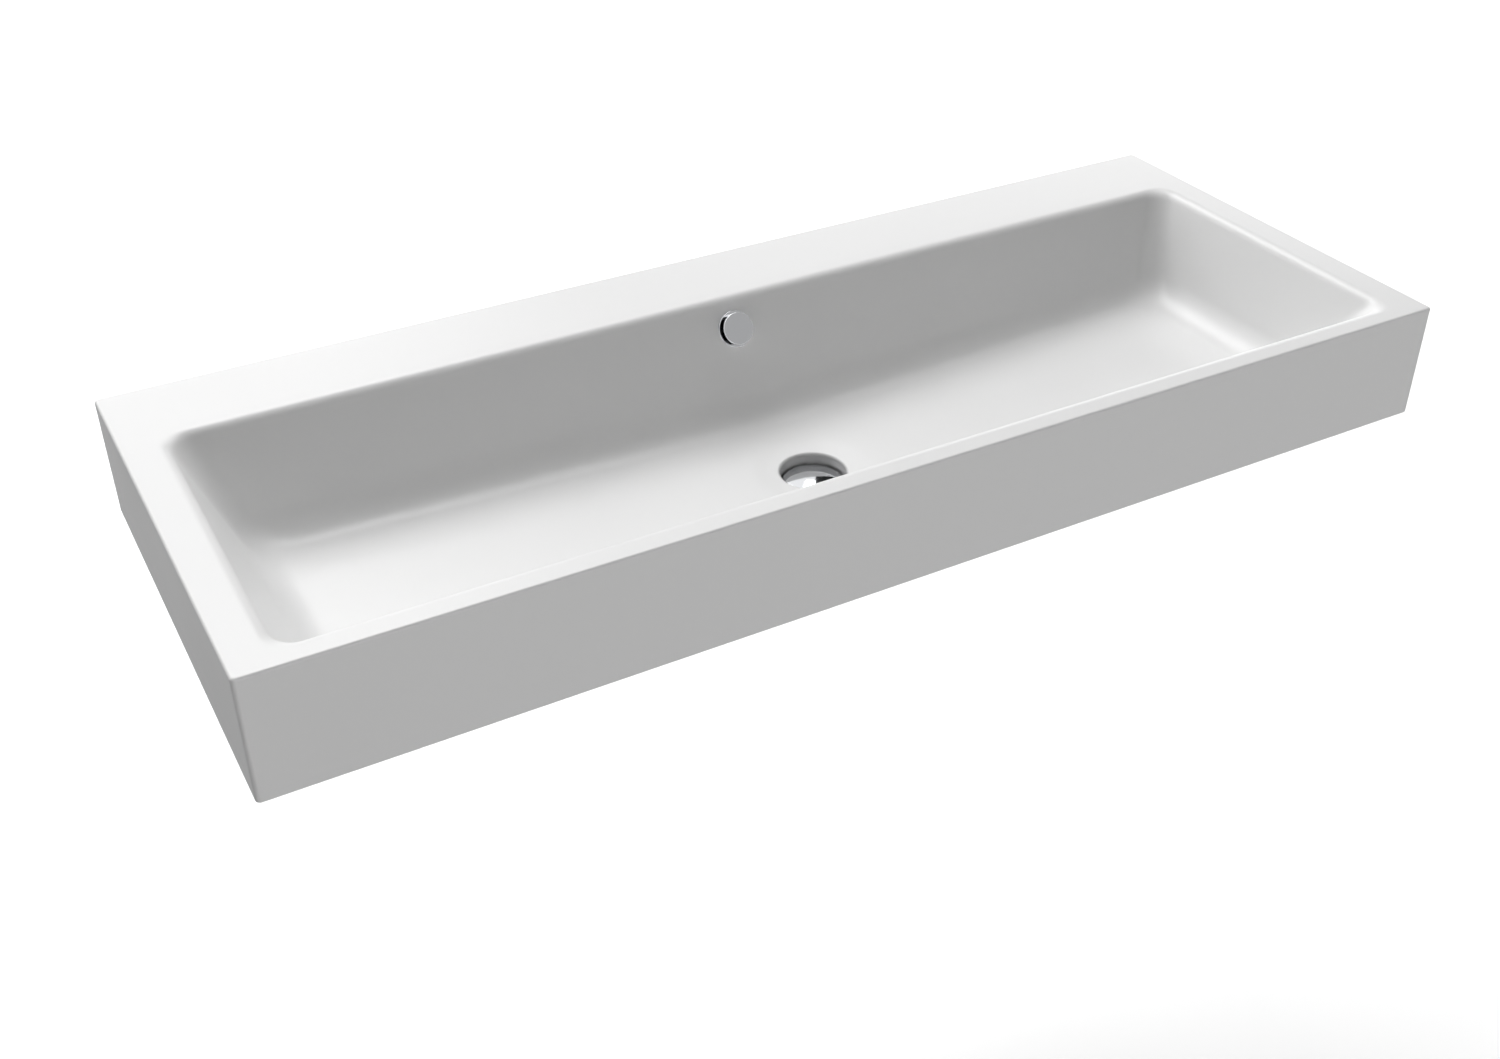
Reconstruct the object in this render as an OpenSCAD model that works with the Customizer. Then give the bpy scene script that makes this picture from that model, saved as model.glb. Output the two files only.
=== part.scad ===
// Wall-hung washbasin, pressed from one enamelled steel sheet.
// Origin: middle of the wall-bolt line, on the back face. X right, -Y to the front, Z up.

/* [Basin] */
// Overall width
basin_w = 1200; // [1000:10:1300]
// Overall depth from the wall to the front
basin_d = 460; // [430:5:520]
// Height of the skirt
skirt_h = 120; // [116:1:160]
// Thickness of the enamelled sheet
sheet_t = 2.5; // [2:0.1:3]
// Radius of the top and bottom outer edges
edge_r = 2.2; // [2:0.1:5]
// Radius of the four upright corners
upright_r = 4; // [3.5:0.1:12]
// Width of the lip folded in under the skirt
lip_w = 14; // [8:1:25]
// Rim height above the wall-bolt line
rim_above_bolts = 65; // [45:1:85]

/* [Bowl] */
// Width of the deck behind the bowl
rear_deck_w = 91; // [80:1:120]
// Width of the deck in front of the bowl
front_deck_w = 16.7; // [14:0.1:40]
// Width of the deck at each end
end_deck_w = 30.5; // [20:0.5:60]
// Radius of the rolled rim
roll_r = 12; // [8:0.5:14]
// Plan radius of the bowl corners at the rim
rim_corner_r = 22; // [18:1:40]
// Plan radius of the bowl corners at the floor
foot_corner_r = 30; // [24:1:60]
// How far the rear wall slopes in where the floor is deepest
rear_foot = 67; // [55:1:80]
// How far the front wall slopes in there
front_foot = 67; // [55:1:80]
// How far the end walls slope in before they meet the floor
end_foot = 52; // [40:1:70]
// Radius between the rear and front walls and the floor
side_fillet_r = 45; // [30:1:55]
// Radius between the end walls and the floor
end_fillet_r = 38; // [25:1:55]
// Room between the lowest point of the floor and the foot of the skirt
floor_room_h = 9; // [7:1:20]
// Rise of the floor from the centre line to each end
floor_rise = 14; // [8:0.5:25]
// Half width of the rounded valley of the floor
valley_w = 18; // [8:1:30]

/* [Drain] */
// Distance of the drain from the wall
drain_from_wall = 270; // [262:1:280]
// Radius of the drain hole
drain_r = 32; // [31:0.5:34]
// Radius of the edge round the drain hole
drain_edge_r = 3; // [2.5:0.1:4]
// Width of the shallow dish round the drain hole
dish_w = 26; // [15:1:32]
// Depth of that dish
dish_drop = 0.6; // [0.3:0.1:2]
// Depth of the seat below the dish
drain_recess = 19; // [18:0.5:24]
// Radius of the hole in the seat
drain_bore_r = 22.5; // [22:0.1:24]

/* [Overflow] */
// Depth of the overflow below the rim
overflow_depth = 29; // [27:0.5:36]
// Radius of the hole in the rear wall
overflow_hole_r = 14.5; // [13.5:0.1:15]
// Radius of the chrome cap
cap_r = 16.2; // [15.8:0.1:17.5]
// How far the cap stands off the wall
cap_proud = 9; // [8:0.5:12]
// Radius of the ring under the cap
ring_r = 18.6; // [18:0.1:20]
// Thickness of that ring
ring_t = 1.6; // [1.2:0.1:2.2]

/* [Wall fixing] */
// Distance between the two wall bolts
bolt_spacing = 560; // [280:10:700]
// Radius of the bore that takes the wall bolt
bolt_bore_r = 5.5; // [5.3:0.1:6.5]
// Radius of the plastic bush
bush_r = 8.5; // [8:0.1:10]
// Width of the welded wall plate
plate_w = 90; // [60:5:140]
// Room between a wall plate and the foot of the skirt
plate_room_h = 20; // [8:1:26]
// Thickness of the welded wall plate
plate_t = 4; // [3:0.5:6]

/* [Waste] */
// Outer radius of the threaded waste tube
tube_r = 20.95; // [20.9:0.01:21.2]
// Wall of the waste tube
tube_t = 2.4; // [2:0.1:3]
// Length of the waste tube below the drain seat
tube_l = 95; // [85:1:120]
// Radius of the waste flange
flange_r = 30.5; // [29.5:0.1:30.7]
// Radius of the plug cover
plug_r = 30; // [29:0.1:30.3]
// Rise of the domed plug cover
plug_dome = 3; // [2:0.1:4]
// Travel of the push-open plug
plug_travel = 8; // [5:0.5:9]
// Outer radius of the overflow collar
collar_r = 33; // [31:0.5:36]
// Height of the overflow collar
collar_h = 34; // [32:1:42]

/* [Hose] */
// Inside radius of the overflow hose
hose_bore_r = 6.5; // [5.5:0.1:7]
// Radius of the hose over its ribs
hose_rib_r = 10.4; // [10:0.1:11]
// Radius of the hose between its ribs
hose_root_r = 8.6; // [8:0.1:8.8]
// Pitch of the ribs
hose_pitch = 3.4; // [3:0.1:5]
// Bend radius of the hose
hose_bend_r = 46; // [40:1:50]
// Radius of the threaded nozzles
nozzle_r = 10.8; // [10.6:0.1:11.5]

/* [Damping] */
// Length of a damping pad
pad_l = 300; // [150:10:330]
// Width of a damping pad
pad_w = 130; // [80:5:140]
// Thickness of a damping pad
pad_t = 3; // [2:0.5:5]
// Distance of a pad's inner edge from the centre line
pad_from_centre = 110; // [90:5:130]

/* [Hidden] */
$fn = 72;

// Depth of the bowl on its centre line, and height of a wall plate
bowl_h = skirt_h - floor_room_h;
plate_h = 2 * (skirt_h - rim_above_bolts - plate_room_h);

// Clearances and overruns
overrun = 2;
slip_gap = 0.2;
seat_gap = 0.3;
run_gap = 0.3;
least_r = 0.5;

// Finishes
enamel = [0.96, 0.96, 0.95];
chrome = [0.80, 0.81, 0.83];
zinc = [0.66, 0.67, 0.69];
rubber = [0.12, 0.12, 0.13];
light_plastic = [0.90, 0.90, 0.88];
grey_plastic = [0.42, 0.43, 0.45];
bitumen = [0.20, 0.20, 0.21];

// Stations round a ring: shares along x and y, and the direction of the corner arc
long_shares = [-0.5, -0.14, -0.04, 0, 0.04, 0.14, 0.5];
short_shares = [-0.5, 0, 0.5];
corner_steps = 6;
roll_steps = 5;
fillet_steps = 6;
edge_steps = 3;
floor_shares = [0.3, 0.62];
quarter = 90;
full_turn = 360;

function corner(sx, sy, start) =
    [for (k = [0:corner_steps]) [sx, sy, start + quarter * k / corner_steps]];
stations = concat(
    [for (s = short_shares) [1, s, 0]],
    corner(1, 1, 0),
    [for (s = long_shares) [-s, 1, quarter]],
    corner(-1, 1, quarter),
    [for (s = short_shares) [-1, -s, 2 * quarter]],
    corner(-1, -1, 2 * quarter),
    [for (s = long_shares) [s, -1, 3 * quarter]],
    corner(1, -1, 3 * quarter));
station_n = len(stations);
first_mid = floor(len(short_shares) / 2);

function blend(a, b, t) = a + (b - a) * t;

// Rounded rectangle with a point at each station
function ring(half_w, rear, front, r, z) =
    [for (s = stations)
        [s[0] * (half_w - r) + r * cos(s[2]),
         (rear + front) / 2 + s[1] * ((rear - front) / 2 - r) + r * sin(s[2]),
         z]];

// Ring of the outer skirt, taken in by an inset
function skirt_ring(inset, z) =
    ring(basin_w / 2 - inset, -inset, inset - basin_d, max(upright_r - inset, least_r), z);

// Circle round the drain with a point at each station
function drain_ring(r, z) =
    [for (j = [0:station_n - 1])
        let (turn = full_turn * (j - first_mid) / station_n)
        [r * cos(turn), r * sin(turn) - drain_from_wall, z]];

// Depth of the V-shaped floor at a distance from the centre line
foot_half_w = basin_w / 2 - end_deck_w - end_foot;
fall = floor_rise / (sqrt(pow(foot_half_w, 2) + pow(valley_w, 2)) - valley_w);
function floor_depth(x) = bowl_h - fall * (sqrt(pow(x, 2) + pow(valley_w, 2)) - valley_w);

// Slope of a wall from the vertical, which touches the rim roll and reaches its foot at a depth
function wall_slope(foot, depth) =
    let (reach = sqrt(pow(foot, 2) + pow(depth - roll_r, 2)))
    acos(roll_r / reach) - atan2(depth - roll_r, foot);
end_depth = floor_depth(foot_half_w);
rear_slope = wall_slope(rear_foot, bowl_h);
front_slope = wall_slope(front_foot, bowl_h);
end_slope = wall_slope(end_foot, end_depth);

// Inset of a plane wall at a depth
function wall_in(slope, depth) =
    roll_r * cos(slope) + (depth - roll_r * (1 - sin(slope))) * tan(slope);

// Section of a wall: inset from the deck edge and height, over the roll and down the fillet
function wall_point(slope, fillet_r, depth, k) =
    let (turn = quarter - slope, foot = wall_in(slope, depth))
    k <= roll_steps
        ? let (a = turn * k / roll_steps)
          [roll_r * sin(a), -roll_r * (1 - cos(a))]
        : let (a = turn * (1 - (k - roll_steps - 1) / fillet_steps))
          [foot + fillet_r * (tan(turn / 2) - sin(a)), fillet_r * (1 - cos(a)) - depth];

bowl_half_w = basin_w / 2 - end_deck_w;
section_last = roll_steps + 1 + fillet_steps;
end_reach = wall_point(end_slope, end_fillet_r, end_depth, section_last)[0];

// Ring of the bowl at step k of its section
function bowl_ring(k) =
    let (end_in = wall_point(end_slope, end_fillet_r, end_depth, k)[0],
         r = blend(rim_corner_r, foot_corner_r, end_in / end_reach),
         half_w = bowl_half_w - end_in,
         floor_half_w = bowl_half_w - end_reach)
    [for (s = stations)
        let (floor_x = s[0] * (floor_half_w - foot_corner_r) + foot_corner_r * cos(s[2]),
             depth = floor_depth(floor_x),
             rear = -rear_deck_w - wall_point(rear_slope, side_fillet_r, depth, k)[0],
             front = front_deck_w - basin_d + wall_point(front_slope, side_fillet_r, depth, k)[0],
             side_slope = s[1] > 0 ? rear_slope : front_slope,
             end_z = wall_point(end_slope, end_fillet_r, depth, k)[1],
             side_z = wall_point(side_slope, side_fillet_r, depth, k)[1],
             share = pow(sin(s[2]), 2))
        [s[0] * (half_w - r) + r * cos(s[2]),
         (rear + front) / 2 + s[1] * ((rear - front) / 2 - r) + r * sin(s[2]),
         blend(end_z, side_z, share)]];

// Rings of the floor between its border and the dish round the drain
floor_border = bowl_ring(section_last);
dish_ring = drain_ring(drain_r + drain_edge_r + dish_w, 0);
function on_floor(p) = [p[0], p[1], -floor_depth(p[0])];
floor_rings = concat(
    [for (b = floor_shares)
        [for (j = [0:station_n - 1]) on_floor(blend(floor_border[j], dish_ring[j], b))]],
    [[for (p = dish_ring) on_floor(p)]]);

// Drain neck, pressed down from the dish to the seat of the waste
neck_top = -(bowl_h + dish_drop);
seat_z = neck_top - drain_recess;
neck_r = drain_edge_r + sheet_t;
neck_face = concat(
    [for (k = [0:edge_steps])
        let (a = quarter * k / edge_steps)
        drain_ring(drain_r + drain_edge_r * (1 - sin(a)), neck_top - drain_edge_r * (1 - cos(a)))],
    [drain_ring(drain_r, seat_z + least_r),
     drain_ring(drain_r - least_r, seat_z),
     drain_ring(drain_bore_r - overrun, seat_z)]);
neck_back = concat(
    [drain_ring(drain_bore_r - overrun, seat_z - sheet_t),
     drain_ring(drain_r - least_r, seat_z - sheet_t),
     drain_ring(drain_r + sheet_t, seat_z + least_r)],
    [for (k = [edge_steps:-1:0])
        let (a = quarter * k / edge_steps, r = max(drain_edge_r - sheet_t, least_r))
        drain_ring(drain_r + sheet_t + r * (1 - sin(a)), neck_top - sheet_t - r * (1 - cos(a)))]);

// Face of the pressing: lip, skirt, deck, bowl, floor and neck
lip_r = max(edge_r - sheet_t, least_r);
skirt_face = concat(
    [skirt_ring(lip_w, -skirt_h)],
    [for (k = [0:edge_steps])
        let (a = quarter * k / edge_steps)
        skirt_ring(edge_r * (1 - sin(a)), edge_r * (1 - cos(a)) - skirt_h)],
    [for (k = [edge_steps:-1:0])
        let (a = quarter * k / edge_steps)
        skirt_ring(edge_r * (1 - sin(a)), -edge_r * (1 - cos(a)))]);
bowl_face = concat([for (k = [0:section_last]) bowl_ring(k)], floor_rings);

// Back of the bowl: each point moved through the sheet along the surface normal
function around(j) = (j + station_n) % station_n;
function point_normal(rings, i, j) =
    let (lo = max(i - 1, 0), hi = min(i + 1, len(rings) - 1),
         across = rings[hi][j] - rings[lo][j],
         along = rings[i][around(j + 1)] - rings[i][around(j - 1)],
         n = cross(along, across))
    n / norm(n);
bowl_back = [for (i = [len(bowl_face) - 1:-1:1])
    [for (j = [0:station_n - 1]) bowl_face[i][j] - sheet_t * point_normal(bowl_face, i, j)]];
skirt_back = [
    [for (p = bowl_face[0]) p - [0, 0, sheet_t]],
    skirt_ring(sheet_t + lip_r, -sheet_t),
    skirt_ring(sheet_t, -sheet_t - lip_r),
    skirt_ring(sheet_t, sheet_t + lip_r - skirt_h),
    skirt_ring(sheet_t + lip_r, sheet_t - skirt_h),
    skirt_ring(lip_w, sheet_t - skirt_h)];
shell_rings = concat(skirt_face, bowl_face, neck_face, neck_back, bowl_back, skirt_back);

// Closed skin over rings that run round a section and back to its start
module ringed(rings) {
    n = len(rings[0]);
    m = len(rings);
    points = [for (r = rings) for (p = r) p];
    faces = [for (i = [0:m - 1]) for (j = [0:n - 1])
        let (a = i * n + j, b = i * n + (j + 1) % n,
             c = ((i + 1) % m) * n + (j + 1) % n, d = ((i + 1) % m) * n + j)
        each [[a, c, b], [a, d, c]]];
    polyhedron(points = points, faces = faces, convexity = 10);
}

// Places a child in the frame of the rim, which lies above the bolt line
module from_rim() translate([0, 0, rim_above_bolts]) children();

// Places a child on the rear wall at the overflow, its own Z out of the wall
overflow_in = wall_in(rear_slope, overflow_depth);
overflow_y = -rear_deck_w - overflow_in;
module on_rear_wall() {
    from_rim() translate([0, overflow_y, -overflow_depth])
        rotate([quarter - rear_slope, 0, 0]) children();
}

// Places a child on each wall bolt, its own Z away from the wall
module on_bolts() {
    for (side = [-1, 1])
        translate([side * bolt_spacing / 2, 0, 0]) rotate([quarter, 0, 0]) children();
}

// Places a child on the drain axis, at the height of the drain seat
module on_seat() from_rim() translate([0, -drain_from_wall, seat_z]) children();

module tube(r_out, r_in, h) {
    difference() {
        cylinder(r = r_out, h = h);
        translate([0, 0, -overrun]) cylinder(r = r_in, h = h + 2 * overrun);
    }
}

bush_hole_r = bush_r + slip_gap;

module basin_shell() {
    color(enamel) difference() {
        from_rim() ringed(shell_rings);
        on_seat() translate([0, 0, -sheet_t - overrun])
            cylinder(r = drain_bore_r, h = sheet_t + 2 * overrun);
        on_rear_wall() translate([0, 0, -sheet_t - overrun])
            cylinder(r = overflow_hole_r, h = sheet_t + 2 * overrun);
        on_bolts() translate([0, 0, -overrun])
            cylinder(r = bush_hole_r, h = sheet_t + 2 * overrun);
    }
}

// Welded plate that spreads the load of a wall bolt over the rear skirt
plate_corner_r = plate_t * 2;
module wall_plate(side) {
    color(enamel) translate([side * bolt_spacing / 2, -sheet_t, 0]) rotate([quarter, 0, 0])
        linear_extrude(height = plate_t) difference() {
            union() {
                square([plate_w - 2 * plate_corner_r, plate_h], center = true);
                square([plate_w, plate_h - 2 * plate_corner_r], center = true);
                for (sx = [-1, 1])
                    for (sy = [-1, 1])
                        translate([sx * (plate_w / 2 - plate_corner_r),
                                   sy * (plate_h / 2 - plate_corner_r)])
                            circle(r = plate_corner_r);
            }
            circle(r = bush_hole_r);
        }
}
module wall_plate_left() wall_plate(-1);
module wall_plate_right() wall_plate(1);

// Bush, washer and nut of one wall bolt
bush_flange_t = 2.5;
bush_flange_w = 4.5;
washer_t = 2.5;
washer_w = 9.5;
nut_h = 8;
nut_flats = 17;
nut_play = 0.45;
bush_top = sheet_t + plate_t;
washer_base = bush_top + bush_flange_t;

module fixing_bushes() {
    color(light_plastic) on_bolts() difference() {
        union() {
            cylinder(r = bush_r, h = washer_base);
            translate([0, 0, bush_top]) cylinder(r = bush_r + bush_flange_w, h = bush_flange_t);
        }
        translate([0, 0, -overrun]) cylinder(r = bolt_bore_r, h = washer_base + 2 * overrun);
    }
}

module fixing_washers() {
    color(zinc) on_bolts() translate([0, 0, washer_base])
        tube(bolt_bore_r + washer_w, bolt_bore_r, washer_t);
}

module fixing_nuts() {
    corner_dia = nut_flats / cos(full_turn / 12);
    color(zinc) on_bolts() translate([0, 0, washer_base + washer_t]) difference() {
        intersection() {
            cylinder(d = corner_dia, h = nut_h, $fn = 6);
            cylinder(d1 = nut_flats + 2 * nut_h, d2 = nut_flats, h = nut_h);
        }
        translate([0, 0, -overrun])
            cylinder(r = bolt_bore_r - nut_play, h = nut_h + 2 * overrun);
    }
}

// Anti-drumming pad glued under one half of the floor
module damping_pad(side) {
    tilt = atan(fall);
    top = -floor_depth(pad_from_centre) - sheet_t / cos(tilt) - seat_gap;
    color(bitumen) from_rim() translate([side * pad_from_centre, -drain_from_wall, top])
        rotate([0, -side * tilt, 0])
            translate([(side - 1) / 2 * pad_l, -pad_w / 2, -pad_t]) cube([pad_l, pad_w, pad_t]);
}
module damping_pad_left() damping_pad(-1);
module damping_pad_right() damping_pad(1);

// Overflow, drawn with its own Z out of the rear wall
cap_t = 1.6;
cap_wall = 1.4;
cap_round = 1;
cap_windows = 2;
cap_window_h = 5.2;
cap_window_w = 27;
ring_lap = 2.7;
ring_bar_w = 7;
screw_r = 2.5;
screw_head_r = 4.5;
screw_head_h = 2.6;
screw_l = 22;
gasket_t = 2;
elbow_wall = 2.4;
elbow_flange_w = 7;
elbow_l = 29;
elbow_boss_w = 2;
elbow_boss_l = 16;
elbow_drop = 40;
elbow_face = sheet_t + seat_gap + gasket_t;
ring_top = seat_gap + ring_t;
elbow_axis = elbow_face + elbow_l / 2 + elbow_wall;
elbow_r = overflow_hole_r + elbow_wall;

module overflow_cap() {
    arc = [for (a = [0:quarter / edge_steps:quarter])
        [cap_r - cap_round + cap_round * cos(a), cap_proud - cap_round + cap_round * sin(a)]];
    color(chrome) on_rear_wall() difference() {
        rotate_extrude() polygon(concat(
            [[cap_r - cap_wall, ring_top], [cap_r, ring_top]], arc,
            [[0, cap_proud], [0, cap_proud - cap_t], [cap_r - cap_wall, cap_proud - cap_t]]));
        for (k = [0:cap_windows - 1])
            rotate([0, 0, k * full_turn / cap_windows])
                translate([0, -cap_window_w / 2, ring_top - overrun])
                    cube([cap_r + overrun, cap_window_w, cap_window_h + overrun]);
    }
}

module overflow_ring() {
    color(chrome) on_rear_wall() translate([0, 0, seat_gap]) difference() {
        union() {
            tube(ring_r, cap_r - ring_lap, ring_t);
            intersection() {
                cylinder(r = cap_r, h = ring_t);
                translate([-cap_r, -ring_bar_w / 2, 0]) cube([2 * cap_r, ring_bar_w, ring_t]);
            }
        }
        translate([0, 0, -overrun]) cylinder(r = screw_r + slip_gap, h = ring_t + 2 * overrun);
    }
}

module overflow_screw() {
    color(zinc) on_rear_wall() {
        translate([0, 0, ring_top - screw_l]) cylinder(r = screw_r, h = screw_l);
        translate([0, 0, ring_top]) difference() {
            cylinder(r = screw_head_r, h = screw_head_h);
            translate([0, 0, screw_head_h / 2]) rotate([0, 0, full_turn / 8])
                for (turn = [0, quarter])
                    rotate([0, 0, turn])
                        translate([-screw_r, -screw_r / 5, 0])
                            cube([2 * screw_r, 2 * screw_r / 5, screw_head_h]);
        }
    }
}

module overflow_gasket() {
    color(rubber) on_rear_wall() translate([0, 0, -elbow_face])
        tube(overflow_hole_r + elbow_flange_w, overflow_hole_r, gasket_t);
}

// Centre of the downward nozzle of the elbow, seen from the rim
nozzle_y = overflow_y + elbow_axis * cos(rear_slope);
nozzle_top = -overflow_depth - elbow_axis * sin(rear_slope);
nozzle_end = nozzle_top - elbow_drop;

module overflow_elbow() {
    color(grey_plastic) {
        difference() {
            union() {
                on_rear_wall() translate([0, 0, -elbow_face - elbow_wall])
                    cylinder(r = overflow_hole_r + elbow_flange_w, h = elbow_wall);
                on_rear_wall() translate([0, 0, -elbow_face - elbow_l - 2 * elbow_wall])
                    cylinder(r = elbow_r, h = elbow_l + 2 * elbow_wall);
                from_rim() translate([0, nozzle_y, nozzle_end])
                    cylinder(r = nozzle_r, h = elbow_drop);
            }
            on_rear_wall() translate([0, 0, -elbow_face - elbow_l - elbow_wall])
                cylinder(r = overflow_hole_r, h = elbow_l + elbow_wall + overrun);
            from_rim() translate([0, nozzle_y, nozzle_end - overrun])
                cylinder(r = hose_bore_r, h = elbow_drop + overrun);
        }
        on_rear_wall() translate([0, 0, -elbow_face - elbow_l - elbow_wall]) difference() {
            translate([0, 0, -elbow_wall / 2])
                cylinder(r = screw_r + elbow_boss_w, h = elbow_boss_l + elbow_wall / 2);
            cylinder(r = screw_r + run_gap, h = elbow_boss_l + overrun);
        }
    }
}

// Overflow collar round the waste tube, under the drain seat
collar_seal_t = 1.5;
collar_wall = 3;
nozzle_l = 22;
collar_seal_w = 8;
collar_base = -sheet_t - collar_seal_t - collar_h;
collar_mid = collar_base + collar_h / 2;
tube_hole_r = tube_r + slip_gap;

module overflow_collar() {
    color(grey_plastic) on_seat() difference() {
        union() {
            translate([0, 0, collar_base]) cylinder(r = collar_r, h = collar_h);
            translate([0, 0, collar_mid]) rotate([-quarter, 0, 0])
                cylinder(r = nozzle_r, h = collar_r + nozzle_l);
        }
        translate([0, 0, collar_base + collar_wall])
            cylinder(r = collar_r - collar_wall, h = collar_h - 2 * collar_wall);
        translate([0, 0, collar_base - overrun])
            cylinder(r = tube_hole_r, h = collar_h + 2 * overrun);
        translate([0, 0, collar_mid]) rotate([-quarter, 0, 0])
            cylinder(r = hose_bore_r, h = collar_r + nozzle_l + overrun);
    }
}

module collar_seals() {
    color(rubber) on_seat() {
        translate([0, 0, -sheet_t - collar_seal_t])
            tube(tube_hole_r + collar_seal_w, tube_hole_r, collar_seal_t);
        translate([0, 0, collar_base - collar_seal_t])
            tube(tube_hole_r + collar_seal_w, tube_hole_r, collar_seal_t);
    }
}

// Route of the hose: down from the elbow, one bend, then forward to the collar
hose_seal_t = 2;
hose_collar_t = 1.5;
hose_collar_r = nozzle_r - slip_gap;
hose_sides = 8;
hose_bend_steps = 6;
collar_nozzle_y = -drain_from_wall + collar_r + nozzle_l;
hose_top = nozzle_end - hose_seal_t;
hose_low = seat_z + collar_mid;
hose_drop_l = hose_top - hose_low - hose_bend_r;
hose_run_l = nozzle_y - hose_bend_r - collar_nozzle_y - hose_seal_t;
hose_bend_l = PI * hose_bend_r / 2;
hose_l = hose_drop_l + hose_bend_l + hose_run_l;
hose_cuff_l = 2 * hose_rib_r;
hose_ribs = floor((hose_l - 2 * hose_cuff_l) / hose_pitch);
hose_first = (hose_l - hose_ribs * hose_pitch) / 2;

function hose_turn(s) = quarter * min(max((s - hose_drop_l) / hose_bend_l, 0), 1);
function hose_centre(s) =
    let (a = hose_turn(s), down = min(s, hose_drop_l), on = max(s - hose_drop_l - hose_bend_l, 0))
    [0, nozzle_y - hose_bend_r * (1 - cos(a)) - on, hose_top - down - hose_bend_r * sin(a)];
function hose_ring(s, r) =
    let (a = hose_turn(s), c = hose_centre(s))
    [for (k = [0:hose_sides - 1])
        let (t = full_turn * (k + 0.5) / hose_sides)
        c + r * [cos(t), sin(t) * cos(a), -sin(t) * sin(a)]];
hose_outside = concat(
    [hose_ring(0, hose_collar_r), hose_ring(hose_collar_t, hose_collar_r),
     hose_ring(hose_collar_t, hose_root_r)],
    [for (k = [0:hose_ribs - 1])
        each [hose_ring(hose_first + k * hose_pitch, hose_root_r),
              hose_ring(hose_first + (k + 0.5) * hose_pitch, hose_rib_r)]],
    [hose_ring(hose_first + hose_ribs * hose_pitch, hose_root_r),
     hose_ring(hose_l - hose_collar_t, hose_root_r),
     hose_ring(hose_l - hose_collar_t, hose_collar_r), hose_ring(hose_l, hose_collar_r)]);
hose_inside = concat(
    [hose_ring(hose_l, hose_bore_r)],
    [for (k = [hose_bend_steps:-1:0])
        hose_ring(hose_drop_l + hose_bend_l * k / hose_bend_steps, hose_bore_r)],
    [hose_ring(0, hose_bore_r)]);
echo(hose_length = hose_l, hose_ribs = hose_ribs);

module overflow_hose() {
    color(grey_plastic) from_rim() ringed(concat(hose_outside, hose_inside));
}

// Union nut with its seat on a nozzle end at zero, and the hose along its own Z
hose_nut_hold = 10;
hose_nut_lip = 2.5;
hose_nut_wall = 2.6;
hose_nut_ribs = 12;
hose_nut_rib_w = 2;
module hose_nut() {
    inside = hose_seal_t + hose_collar_t;
    full = hose_nut_hold + inside + hose_nut_lip;
    outer_r = nozzle_r + slip_gap + hose_nut_wall;
    color(light_plastic) translate([0, 0, -hose_nut_hold]) difference() {
        union() {
            cylinder(r = outer_r, h = full);
            for (k = [0:hose_nut_ribs - 1])
                rotate([0, 0, k * full_turn / hose_nut_ribs])
                    translate([outer_r - hose_nut_wall / 2, -hose_nut_rib_w / 2, 0])
                        cube([hose_nut_rib_w, hose_nut_rib_w, full - hose_nut_lip]);
        }
        translate([0, 0, -overrun])
            cylinder(r = nozzle_r + slip_gap, h = hose_nut_hold + inside + overrun);
        cylinder(r = hose_root_r + slip_gap, h = full + overrun);
    }
}
module at_hose_top() {
    from_rim() translate([0, nozzle_y, nozzle_end]) rotate([2 * quarter, 0, 0]) children();
}
module at_hose_low() {
    from_rim() translate([0, collar_nozzle_y, hose_low]) rotate([-quarter, 0, 0]) children();
}
module hose_nut_upper() at_hose_top() hose_nut();
module hose_nut_lower() at_hose_low() hose_nut();

module hose_seals() {
    color(rubber) {
        at_hose_top() tube(hose_collar_r, hose_bore_r, hose_seal_t);
        at_hose_low() tube(hose_collar_r, hose_bore_r, hose_seal_t);
    }
}

// Waste: flange and threaded tube through the seat, with windows for the overflow.
// A relief in the thread ends the part that the back nut runs on.
back_nut_h = 10;
back_nut_wall = 5;
back_nut_lugs = 6;
back_nut_lug_w = 8;
back_nut_lug_l = 7.5;
back_nut_top = collar_base - collar_seal_t;
relief_d = 0.8;
relief_w = 2.5;
relief_below_nut = 1;
relief_top = back_nut_top - back_nut_h - relief_below_nut;
flange_seal_t = 1.5;
flange_t = 3;
flange_bevel = 0.8;
flange_step_w = 4.5;
flange_step_h = 1.2;
ledge_w = 1.2;
ledge_z = -6;
window_n = 4;
window_w = 9;
window_h = 16;
tube_bore_r = tube_r - tube_t;
step_r = flange_r - flange_step_w;
step_z = flange_seal_t + flange_step_h;
flange_top = flange_seal_t + flange_t;

module waste_flange() {
    color(chrome) on_seat() difference() {
        rotate_extrude() polygon([
            [tube_bore_r, step_z], [step_r, step_z], [step_r, flange_top],
            [flange_r - flange_bevel, flange_top], [flange_r, flange_top - flange_bevel],
            [flange_r, flange_seal_t], [tube_r, flange_seal_t], [tube_r, relief_top],
            [tube_r - relief_d, relief_top], [tube_r - relief_d, relief_top - relief_w],
            [tube_r, relief_top - relief_w], [tube_r, -tube_l],
            [tube_bore_r - ledge_w, -tube_l], [tube_bore_r - ledge_w, ledge_z],
            [tube_bore_r, ledge_z]]);
        for (k = [0:window_n - 1])
            rotate([0, 0, (k + 0.5) * full_turn / window_n])
                translate([0, -window_w / 2, collar_mid - window_h / 2])
                    cube([tube_r + overrun, window_w, window_h]);
    }
}

module waste_flange_seal() {
    color(rubber) on_seat()
        tube(flange_r - flange_bevel, drain_bore_r, flange_seal_t);
}

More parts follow.
